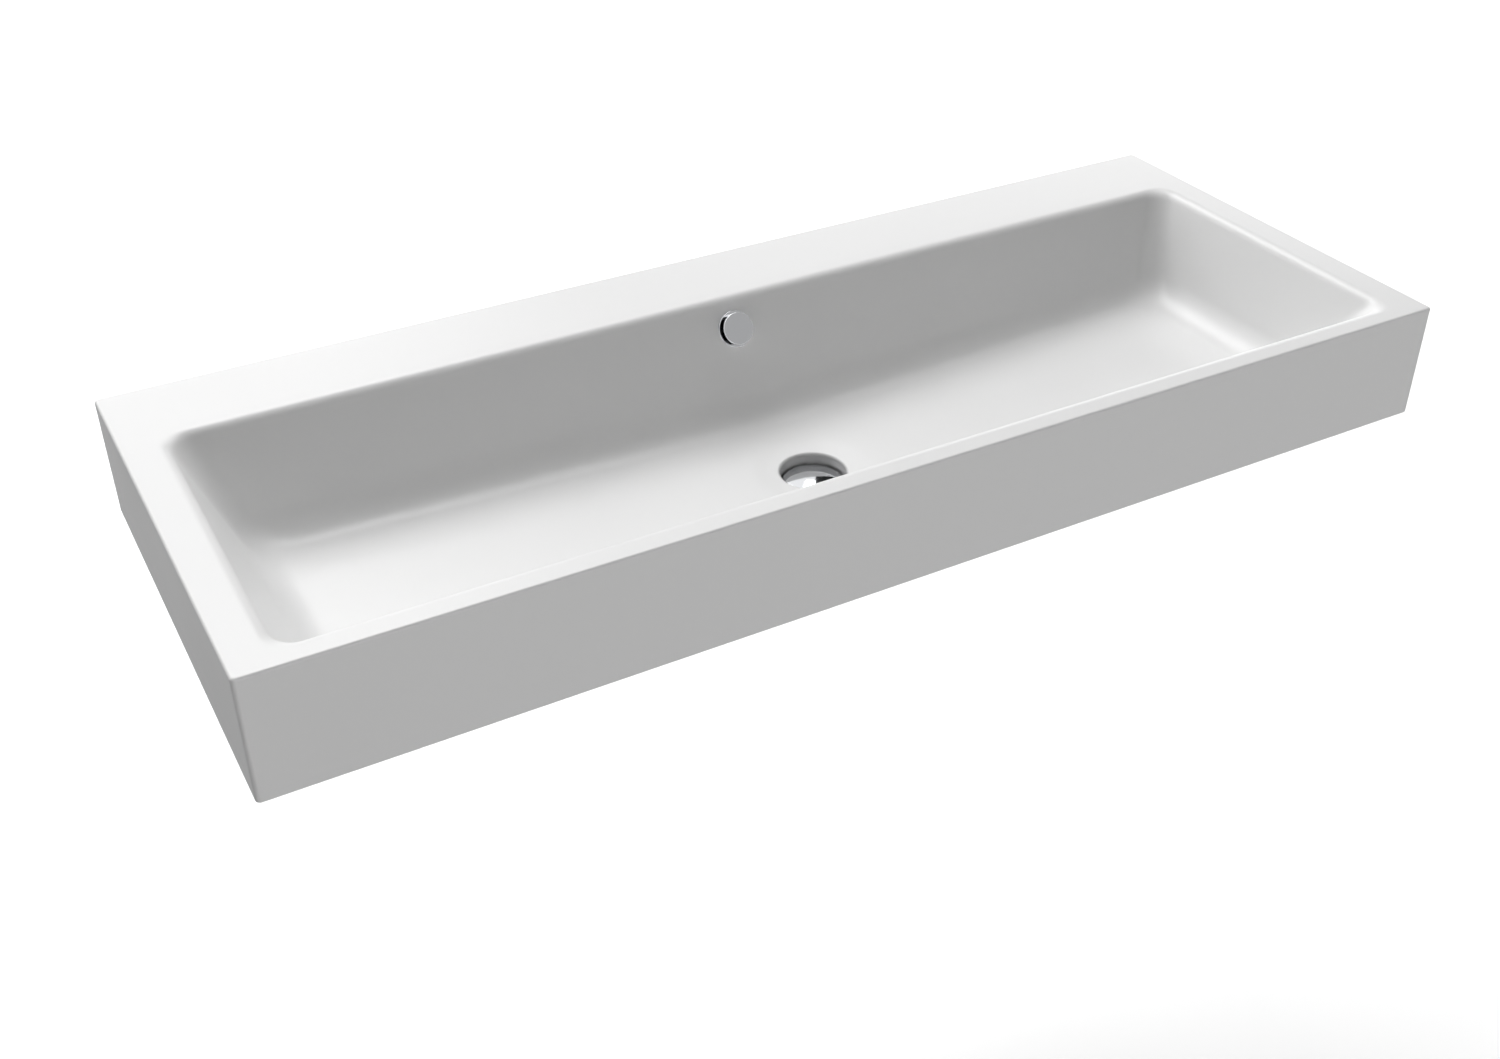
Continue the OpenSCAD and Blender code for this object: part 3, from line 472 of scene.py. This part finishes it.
    # twin rows on the back, for the walls of the holes
    bowlStart = len(face) + len(deck)
    backBowlStart = len(front) + len(neck) + len(neckBack)
    lastFace = len(bowlFace) - 1
    twinPoint = {bowlStart + k: backBowlStart + (lastFace - 1 - k) for k in range(1, lastFace)}
    backSkirtStart = rows - 3 - len(skirtZ)
    twinPoint.update({lowSkirt + k: backSkirtStart + len(skirtZ) - 1 - k for k in range(len(skirtZ))})
    holes = {}
    for k in range(len(tRow) - 1):
        b0 = ((tRow[k] - 1) * straight - holeW) / sheet["overflowHole"]
        b1 = ((tRow[k + 1] - 1) * straight - holeW) / sheet["overflowHole"]
        if b0 > -1.01 and b1 < 1.01:
            a = sx * holeHalf / sheet["overflowHole"]
            mid = (a + np.roll(a, -1)) / 2
            js = np.flatnonzero(onRear & np.roll(onRear, -1) & (abs(mid) < 1))
            holes[bowlStart + k] = list(js)
    for k in range(len(skirtZ) - 1):
        b = ((skirtZ[k] + skirtZ[k + 1]) / 2 + sheet["rimHeight"]) / sheet["boltHole"]
        if abs(b) < 1:
            mid = (sx + np.roll(sx, -1)) / 2 * skirtHalf
            js = np.flatnonzero(onRear & np.roll(onRear, -1)
                                & (abs(abs(mid) - sheet["boltSpacing"] / 2) < sheet["boltHole"]))
            holes[lowSkirt + k] = list(js)
    mirror = {"point": twinPoint}
    for i in holes:
        mirror[twinPoint[i + 1]] = i
    cells = torusFaces(rows, stationCount)
    faces = pierced(cells, holes, stationCount, mirror)
    obj = makeObject("basinSheet", points.reshape(-1, 3), faces, enamel, "basin",
                     nodes=("basin_shell",))
    # painted shade: the neck round the plug gets a darker colour standing in for the shade down the hole; the
    # darkening comes in over its rounded edge
    paintedShade = np.zeros((rows, stationCount))
    rounded = len(edgeTurns) - 1
    paintedShade[len(front):len(front) + len(neck)] = np.clip((np.arange(len(neck)) + 1) / rounded, 0, 1)[:, None]
    obj.data.attributes.new("paintedShade", "FLOAT", "POINT").data.foreach_set("value", paintedShade.ravel())


makeSheet()


# Overflow: its own Z stands out of the rear wall

outward = np.array([0, -math.cos(rearSlope), math.sin(rearSlope)])
upWall = np.array([0, math.sin(rearSlope), math.cos(rearSlope)])
overflowSpot = np.array([0, overflowY, sheet["rimHeight"] - sheet["overflowDepth"]])


def onRearWall(points):
    points = np.asarray(points, float)
    return overflowSpot + points[:, :1] * [1, 0, 0] + points[:, 1:2] * upWall + points[:, 2:] * outward


overflow = dict(capR=16.2, proud=9.0, wall=1.4, top=1.6, edge=0.4, windows=2, windowW=27.0, windowH=5.2,
                ringR=18.6, ringIn=13.5, ringT=1.6, ringEdge=0.35, gap=0.3, barW=7.0, screwHole=2.7)


def makeCap():
    # a cup turned about its axis; the windows are cut through its wall, from the foot up
    o, count = overflow, 144
    foot = o["gap"] + o["ringT"]
    low = foot + o["windowH"]
    inside, head = o["capR"] - o["wall"], o["proud"] - o["top"]
    outer = [(o["capR"], foot), (o["capR"], low), (o["capR"], low + 0.3), (o["capR"], o["proud"] - o["edge"] - 0.2)]
    outer += arc(o["capR"] - o["edge"], o["proud"] - o["edge"], o["edge"], 0, 90, 8)
    outer += [(o["capR"] - o["edge"] - 0.4, o["proud"]), (8, o["proud"]), (0.01, o["proud"])]
    inner = [(0.01, head), (inside - 0.2, head), (inside, head - 0.2), (inside, low), (inside, foot)]
    profile = outer + inner
    points, cells = lathe(profile, count)
    rows = len(profile)
    turn = np.degrees(tau * (np.arange(count) + 0.5) / count)
    half = math.degrees(math.asin(o["windowW"] / 2 / (o["capR"] - o["wall"] / 2)))
    js = [j for j in range(count)
          if any(abs((turn[j] - 360 * k / o["windows"] + 180) % 360 - 180) < half for k in range(o["windows"]))]
    gone = {(i, j) for i in (0, rows - 2, rows - 1) for j in js}
    faces = [tuple(cells[i, j]) for i in range(rows) for j in range(count) if (i, j) not in gone]

    def point(i, j):
        return pointAt(i, j, count)

    for j in js:
        faces.append((point(1, j), point(1, j + 1), point(rows - 2, j + 1), point(rows - 2, j)))
        if j - 1 not in js:
            faces.append((point(0, j), point(1, j), point(rows - 2, j), point(rows - 1, j)))
        if j + 1 not in js:
            faces.append((point(0, j + 1), point(rows - 1, j + 1), point(rows - 2, j + 1), point(1, j + 1)))
    makeObject("overflowCap", onRearWall(points), faces, chrome, "basin", nodes=("overflow_cap",))


def makeRing():
    # a flat ring with its outer edge rounded, and a bar for the screw
    o, count = overflow, 144
    base, top = o["gap"], o["gap"] + o["ringT"]
    profile = [(o["ringIn"], base), (o["ringR"], base), (o["ringR"], base + 0.5)]
    profile += arc(o["ringR"] - o["ringEdge"], top - o["ringEdge"], o["ringEdge"], 0, 90, 6)
    profile += [(o["ringR"] - o["ringEdge"] - 0.3, top), (o["ringIn"] + 0.3, top), (o["ringIn"], top - 0.3)]
    points, cells = lathe(profile, count)
    faces = [tuple(f) for f in cells.reshape(-1, 4)]
    points = [tuple(q) for q in points]
    # bar across the ring, in two halves round the screw
    for side in (-1, 1):
        x0, x1, w = side * o["screwHole"], side * (o["ringIn"] + 0.2), o["barW"] / 2
        start = len(points)
        for z in (base, top):
            points += [(x0, -w, z), (x1, -w, z), (x1, w, z), (x0, w, z)]
        box = [(0, 3, 2, 1), (4, 5, 6, 7), (0, 1, 5, 4), (1, 2, 6, 5), (2, 3, 7, 6), (3, 0, 4, 7)]
        faces += [tuple(start + k for k in (f if side > 0 else f[::-1])) for f in box]
    makeObject("overflowRing", onRearWall(points), faces, chrome, "basin", nodes=("overflow_ring",))


makeCap()
makeRing()


# Plug and waste

seat = np.array([0, -sheet["drainY"],
                 sheet["rimHeight"] - sheet["bowl"] - sheet["dishDrop"] - sheet["recess"]])
plug = dict(radius=30.0, edge=2.2, round=0.9, dome=3.0, boss=5.4, bossH=3.2, lift=0.7, stem=2.58, stemTop=6.2)
waste = dict(flangeR=30.5, sealT=1.5, flangeT=3.0, bevel=0.8, stepW=4.5, stepH=1.2, tubeR=20.95, tubeT=2.4,
             length=95.0, ledgeW=1.2, ledgeZ=-6.0, windows=4, windowW=9.0, windowLow=-29.0, windowHigh=-13.0,
             reliefTop=-50.5, reliefW=2.5, reliefD=0.8, pitch=2.309, threadD=0.75)


def makePlug():
    # a disc with a spherical dome, a rounded rim and the boss that takes the stem
    base = waste["sealT"] + waste["flangeT"] + plug["lift"]
    top = base + plug["edge"]
    domeR = (plug["radius"] ** 2 + plug["dome"] ** 2) / (2 * plug["dome"])
    lean = math.asin((plug["radius"] - plug["round"]) / domeR)
    profile = [(0.01, plug["stemTop"]), (plug["stem"], plug["stemTop"]), (plug["stem"], base - plug["bossH"]),
               (plug["boss"] - 0.3, base - plug["bossH"]), (plug["boss"], base - plug["bossH"] + 0.3),
               (plug["boss"], base), (plug["radius"] - 0.3, base), (plug["radius"], base + 0.3)]
    rim = top + plug["dome"] - domeR * (1 - math.cos(lean)) - plug["round"]
    profile += arc(plug["radius"] - plug["round"], rim, plug["round"], 0, 90 - math.degrees(lean), 8)
    for k in range(24, -1, -1):
        a = lean * k / 24
        profile.append((max(domeR * math.sin(a), 0.01), top + plug["dome"] - domeR * (1 - math.cos(a))))
    points, cells = lathe(profile, 160)
    makeObject("plugCover", points + seat, cells.reshape(-1, 4), chrome, "plug", nodes=("plug_cover",))


def makeWaste():
    # rim, stepped seat and tube, turned; on the tail the radius dips along a helix, as a thread
    w, count = waste, 144
    step, top = w["sealT"] + w["stepH"], w["sealT"] + w["flangeT"]
    bore = w["tubeR"] - w["tubeT"]
    stepR = w["flangeR"] - w["stepW"]
    inner = [(bore - w["ledgeW"], -w["length"] + 0.3), (bore - w["ledgeW"], w["windowLow"]),
             (bore - w["ledgeW"], w["windowHigh"]), (bore - w["ledgeW"], w["ledgeZ"]), (bore, w["ledgeZ"]),
             (bore, step - 0.4)]
    rim = arc(bore + 0.4, step - 0.4, 0.4, 180, 90, 4)
    rim += [(stepR - 0.3, step), (stepR, step + 0.3), (stepR, top - 0.3), (stepR + 0.3, top)]
    rim += arc(w["flangeR"] - w["bevel"], top - w["bevel"], w["bevel"], 90, 0, 6)
    rim += [(w["flangeR"], w["sealT"]), (w["tubeR"], w["sealT"])]
    outer = [(w["tubeR"], w["windowHigh"]), (w["tubeR"], w["windowLow"]), (w["tubeR"], w["reliefTop"]),
             (w["tubeR"] - w["reliefD"], w["reliefTop"] - 0.2),
             (w["tubeR"] - w["reliefD"], w["reliefTop"] - w["reliefW"] + 0.2)]
    head = inner + rim + outer
    high, low = w["reliefTop"] - w["reliefW"], -w["length"] + 0.8
    heights = np.linspace(high, low, 8 * int((high - low) / w["pitch"]))
    turn = tau * np.arange(count) / count
    r0, z0 = np.array(head)[:, 0][:, None], np.array(head)[:, 1][:, None]
    grid = [np.stack([r0 * np.cos(turn), r0 * np.sin(turn), z0 + 0 * turn], -1)]
    phase = (heights[:, None] / w["pitch"] + turn[None] / tau) % 1.0
    groove = w["threadD"] * np.clip(1.25 - np.abs(phase - 0.5) * 5, 0, 1)
    groove *= np.clip((high - heights) / 1.0, 0, 1)[:, None]
    r = w["tubeR"] - groove
    grid.append(np.stack([r * np.cos(turn), r * np.sin(turn), heights[:, None] + 0 * turn], -1))
    end = np.array([(w["tubeR"] - 0.8, -w["length"]), (bore - w["ledgeW"] + 0.3, -w["length"])])
    r1, z1 = end[:, 0][:, None], end[:, 1][:, None]
    grid.append(np.stack([r1 * np.cos(turn), r1 * np.sin(turn), z1 + 0 * turn], -1))
    points = np.concatenate(grid)[::-1]
    rows = len(points)
    cells = torusFaces(rows, count)
    outHigh = rows - 1 - len(inner) - len(rim)
    outLow, inLow, inHigh = outHigh - 1, rows - 2, rows - 3
    half = math.degrees(math.asin(w["windowW"] / 2 / w["tubeR"]))
    mid = np.degrees(turn) + 180 / count
    spacing = 360 / w["windows"]
    js = [j for j in range(count) if abs(mid[j] % spacing - spacing / 2) < half]
    gone = {(outLow, j) for j in js} | {(inHigh, j) for j in js}
    faces = [tuple(cells[i, j]) for i in range(rows) for j in range(count) if (i, j) not in gone]

    def point(i, j):
        return pointAt(i, j, count)

    for j in js:
        faces.append((point(outLow, j), point(outLow, j + 1), point(inLow, j + 1), point(inLow, j)))
        faces.append((point(outHigh, j + 1), point(outHigh, j), point(inHigh, j), point(inHigh, j + 1)))
        if j - 1 not in js:
            faces.append((point(outHigh, j), point(outLow, j), point(inLow, j), point(inHigh, j)))
        if j + 1 not in js:
            faces.append((point(outLow, j + 1), point(outHigh, j + 1), point(inHigh, j + 1), point(inLow, j + 1)))
    makeObject("wasteFlange", points.reshape(-1, 3) + seat, faces, chrome, "basin",
               nodes=("waste_flange",))


makePlug()
makeWaste()


hose = dict(bore=6.5, rib=10.4, root=8.6, pitch=3.4, bend=46.0, nozzle=10.8, collarT=1.5, sealT=2.0, nozzleOut=22.0,
            collarR=33.0, collarZ=-21.0, elbowDrop=40.0, elbowOut=21.7)
hoseY = overflowY + hose["elbowOut"] * math.cos(rearSlope)
hoseTop = (sheet["rimHeight"] - sheet["overflowDepth"] - hose["elbowOut"] * math.sin(rearSlope)
           - hose["elbowDrop"] - hose["sealT"])
hoseLow = seat[2] + hose["collarZ"]
hoseFront = -sheet["drainY"] + hose["collarR"] + hose["nozzleOut"] + hose["sealT"]


def hosePath(s):
    drop, turnL = hoseTop - hoseLow - hose["bend"], math.pi * hose["bend"] / 2
    a = np.clip((s - drop) / turnL, 0, 1) * math.pi / 2
    down, on = np.minimum(s, drop), np.maximum(s - drop - turnL, 0)
    return np.stack([0 * s, hoseY - hose["bend"] * (1 - np.cos(a)) - on,
                     hoseTop - down - hose["bend"] * np.sin(a)], -1)


def makeHose():
    # circles along the route; at each rib the radius swells as a raised cosine
    h, count, boreRings = hose, 32, 40
    length = (hoseTop - hoseLow - h["bend"]) + math.pi * h["bend"] / 2 + (hoseY - h["bend"] - hoseFront)
    ribs = int((length - 4 * h["rib"]) / h["pitch"])
    first = (length - ribs * h["pitch"]) / 2
    s = [0.0, 0.3, h["collarT"] - 0.3, h["collarT"], h["collarT"]]
    r = [h["nozzle"] - 0.5, h["nozzle"] - 0.2, h["nozzle"] - 0.2, h["nozzle"] - 0.4, h["root"]]
    for k in range(ribs):
        for u in (0.0, 0.16, 0.3, 0.42, 0.5, 0.58, 0.7, 0.84):
            s.append(first + (k + u) * h["pitch"])
            r.append(h["root"] + (h["rib"] - h["root"]) * (0.5 - 0.5 * math.cos(tau * u)) ** 0.7)
    s += [first + ribs * h["pitch"]] + [length - v for v in (h["collarT"], h["collarT"], h["collarT"] - 0.3, 0.3, 0.0)]
    r += [h["root"], h["root"], h["nozzle"] - 0.4, h["nozzle"] - 0.2, h["nozzle"] - 0.2, h["nozzle"] - 0.5]
    back = np.linspace(length, 0, boreRings)
    s, r = np.concatenate([s, back]), np.concatenate([r, np.full(boreRings, h["bore"])])
    # the tangent comes from the smooth route, so that steps in radius keep their rings square to it
    here = hosePath(s)
    ahead = hosePath(np.minimum(s + 0.01, length + 0.01)) - hosePath(s - 0.01)
    tangent = ahead / np.linalg.norm(ahead, axis=1, keepdims=True)
    tangent[s < 0.02] = [0, 0, -1]
    side = np.array([1.0, 0, 0])
    up = np.cross(side, tangent)
    turn = tau * np.arange(count) / count
    rings = here[:, None] + r[:, None, None] * (side * np.cos(turn)[None, :, None]
                                                + up[:, None] * np.sin(turn)[None, :, None])
    faces = torusFaces(len(s), count).reshape(-1, 4)[:, ::-1]
    makeObject("overflowHose", rings.reshape(-1, 3), faces, greyPlastic, "basin",
               nodes=("overflow_hose",), sharpAngle=60)


makeHose()

spring = dict(wire=0.5, radius=4.6, turns=5, low=-23.4, high=-10.6)


def makeSpring():
    # one helix, made at one length; the stretch with the stem when the plug rises is not made here
    w, perTurn, count = spring, 32, 12
    a = tau * np.arange(w["turns"] * perTurn + 1) / perTurn
    z = w["low"] + (w["high"] - w["low"]) * a / a[-1]
    centre = np.stack([w["radius"] * np.cos(a), w["radius"] * np.sin(a), z], -1)
    turn = tau * np.arange(count) / count
    radial = np.stack([np.cos(a), np.sin(a), 0 * a], -1)
    rings = centre[:, None] + w["wire"] * (radial[:, None] * np.cos(turn)[None, :, None]
                                           + np.array([0, 0, 1.0]) * np.sin(turn)[None, :, None])
    rows = len(a)
    faces = [tuple(f[::-1]) for f in torusFaces(rows, count)[:-1].reshape(-1, 4)]
    faces += [tuple(range(count)), tuple((rows - 1) * count + k for k in range(count))[::-1]]
    obj = makeObject("plugSpring", rings.reshape(-1, 3) + seat, faces, zinc, None,
                     nodes=("plug_spring",))
    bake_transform(obj)


makeSpring()


# Camera, light and stage

camera = dict(eye=(-0.7401, -1.4710, 0.8414), target=(-0.0475, -0.2296, -0.1238), lens=41.25)
camData = bpy.data.cameras.new("camera")
camData.sensor_width = 36.0
camData.lens = camera["lens"]
camData.clip_end = 100.0
cam = bpy.data.objects.new("camera", camData)
bpy.context.scene.collection.objects.link(cam)
eye, target = np.array(camera["eye"]), np.array(camera["target"])


def aim(obj, place, at):
    obj.location = place
    obj.rotation_mode = "QUATERNION"
    obj.rotation_quaternion = (Vector(at) - Vector(place)).to_track_quat("-Z", "Y")


aim(cam, eye, target)
bpy.context.scene.camera = cam

# soft lamps on a sphere round the basin; turn 0 is the front, 90 the right, 180 behind
lamps = dict(away=6.0, middle=(0, -0.23, 0), placed=dict(
    behindHigh=dict(turn=180, rise=50, size=(3.0, 3.0), watts=194.9),
    behindRightHigh=dict(turn=135, rise=50, size=(3.0, 3.0), watts=113.9),
    frontFloor=dict(turn=0, rise=-3, size=(3.0, 0.6), watts=87.0),
    behindLow=dict(turn=180, rise=10, size=(3.0, 3.0), watts=56.8),
    frontLow=dict(turn=0, rise=10, size=(3.0, 3.0), watts=44.9),
    behindLeft=dict(turn=225, rise=30, size=(3.0, 3.0), watts=44.1),
    behindLeftHigh=dict(turn=225, rise=50, size=(3.0, 3.0), watts=42.3),
    behindRightLow=dict(turn=135, rise=10, size=(3.0, 3.0), watts=32.5),
    frontRightLow=dict(turn=45, rise=10, size=(3.0, 3.0), watts=23.1),
    behindLeftLow=dict(turn=225, rise=10, size=(3.0, 3.0), watts=19.1),
    frontLeftLow=dict(turn=315, rise=10, size=(3.0, 3.0), watts=10.9),
))


def towards(turn, rise):
    # unit direction from the basin, angles in radians
    return np.stack([np.sin(turn) * np.cos(rise), -np.cos(turn) * np.cos(rise), np.sin(rise)], -1)


for name, lamp in lamps["placed"].items():
    data = bpy.data.lights.new(name, "AREA")
    data.shape = "RECTANGLE"
    data.size, data.size_y = lamp["size"]
    data.energy = lamp["watts"]
    obj = bpy.data.objects.new(name, data)
    bpy.context.scene.collection.objects.link(obj)
    out = towards(math.radians(lamp["turn"]), math.radians(lamp["rise"]))
    aim(obj, lamps["middle"] + lamps["away"] * out, lamps["middle"])

# cards that only polished faces see: a dark one behind on the right and a grey one in front
cards = dict(
    dark=dict(turns=(146.5, 94.5), rises=(22.5, 62.0), away=3.0, level=0.02),
    grey=dict(turns=(57.0, -7.0), rises=(-2.0, 40.0), away=4.0, level=0.44),
)


def makeCard(name, card):
    # part of a sphere round the basin
    wide, high = 12, 8
    turns = np.radians(np.linspace(*card["turns"], wide + 1))
    rises = np.radians(np.linspace(*card["rises"], high + 1))
    points = np.array(lamps["middle"]) + card["away"] * towards(*np.meshgrid(turns, rises, indexing="ij"))
    corners = [i * (high + 1) + j for i in range(wide) for j in range(high)]
    faces = [(k, k + 1, k + high + 2, k + high + 1) for k in corners]
    mat = bpy.data.materials.new(name + "Card")
    mat.use_nodes = True
    mat.node_tree.nodes.remove(mat.node_tree.nodes["Principled BSDF"])
    light = mat.node_tree.nodes.new("ShaderNodeEmission")
    light.inputs["Strength"].default_value = card["level"]
    mat.node_tree.links.new(light.outputs[0], mat.node_tree.nodes["Material Output"].inputs["Surface"])
    mesh = bpy.data.meshes.new(name + "Card")
    mesh.from_pydata(points.reshape(-1, 3).tolist(), [], faces)
    mesh.materials.append(mat)
    obj = bpy.data.objects.new(name + "Card", mesh)
    bpy.context.scene.collection.objects.link(obj)
    obj.visible_camera = obj.visible_diffuse = obj.visible_shadow = obj.visible_transmission = False


for name, card in cards.items():
    makeCard(name, card)

stage = dict(floorZ=-0.80, floorSize=30.0, ambient=0.0, floorColor=0.85, floorGlow=0.5, floorBounce=0.1,
             floorMirrored=0.66, glowReach=(2.0, 4.5))


def rayMix(tree, kinds, others, chosen):
    # rays of the named kinds see the chosen shader, all others the first one
    path = tree.nodes.new("ShaderNodeLightPath")
    seen = path.outputs[kinds[0]]
    for kind in kinds[1:]:
        most = tree.nodes.new("ShaderNodeMath")
        most.operation = "MAXIMUM"
        tree.links.new(seen, most.inputs[0])
        tree.links.new(path.outputs[kind], most.inputs[1])
        seen = most.outputs[0]
    mix = tree.nodes.new("ShaderNodeMixShader")
    tree.links.new(seen, mix.inputs[0])
    tree.links.new(others, mix.inputs[1])
    tree.links.new(chosen, mix.inputs[2])
    return mix.outputs[0]


world = bpy.data.worlds.new("studio")
bpy.context.scene.world = world
world.use_nodes = True
tree = world.node_tree
ambient = tree.nodes["Background"]
ambient.inputs["Color"].default_value = (1, 1, 1, 1)
ambient.inputs["Strength"].default_value = stage["ambient"]
white = tree.nodes.new("ShaderNodeBackground")
white.inputs["Color"].default_value = (1, 1, 1, 1)
white.inputs["Strength"].default_value = 1.0
tree.links.new(rayMix(tree, ("Is Camera Ray", "Is Glossy Ray", "Is Transmission Ray"),
                      ambient.outputs[0], white.outputs[0]),
               tree.nodes["World Output"].inputs["Surface"])

floorMat = bpy.data.materials.new("floor")
floorMat.use_nodes = True
tree = floorMat.node_tree
diffuse = tree.nodes["Principled BSDF"]
diffuse.inputs["Base Color"].default_value = (stage["floorColor"],) * 3 + (1,)
diffuse.inputs["Roughness"].default_value = 0.9
diffuse.inputs["Specular IOR Level"].default_value = 0.0
glow = tree.nodes.new("ShaderNodeEmission")
# beyond the reach of the lamps the floor glows by itself, so it runs on as white
place = tree.nodes.new("ShaderNodeTexCoord")
reach = tree.nodes.new("ShaderNodeVectorMath")
reach.operation = "LENGTH"
far = tree.nodes.new("ShaderNodeMapRange")
tree.links.new(place.outputs["Object"], reach.inputs[0])
tree.links.new(reach.outputs["Value"], far.inputs["Value"])
for name, value in zip(("From Min", "From Max", "To Min", "To Max"), (*stage["glowReach"], stage["floorGlow"], 1.0)):
    far.inputs[name].default_value = value
tree.links.new(far.outputs["Result"], glow.inputs["Strength"])
bounce = tree.nodes.new("ShaderNodeEmission")
bounce.inputs["Strength"].default_value = stage["floorBounce"]
both = tree.nodes.new("ShaderNodeAddShader")
tree.links.new(diffuse.outputs[0], both.inputs[0])
tree.links.new(glow.outputs[0], both.inputs[1])
mirrored = tree.nodes.new("ShaderNodeEmission")
mirrored.inputs["Strength"].default_value = stage["floorMirrored"]
unseen = rayMix(tree, ("Is Glossy Ray", "Is Transmission Ray"), bounce.outputs[0], mirrored.outputs[0])
tree.links.new(rayMix(tree, ("Is Camera Ray",), unseen, both.outputs[0]),
               tree.nodes["Material Output"].inputs["Surface"])
size = stage["floorSize"]
floorMesh = bpy.data.meshes.new("floor")
floorMesh.from_pydata([(-size, -size, stage["floorZ"]), (size, -size, stage["floorZ"]),
                       (size, size, stage["floorZ"]), (-size, size, stage["floorZ"])], [], [(0, 1, 2, 3)])
floorMesh.materials.append(floorMat)
floor = bpy.data.objects.new("floor", floorMesh)
bpy.context.scene.collection.objects.link(floor)
print("stage and lights set")

bpy.context.scene.view_settings.view_transform = "Standard"
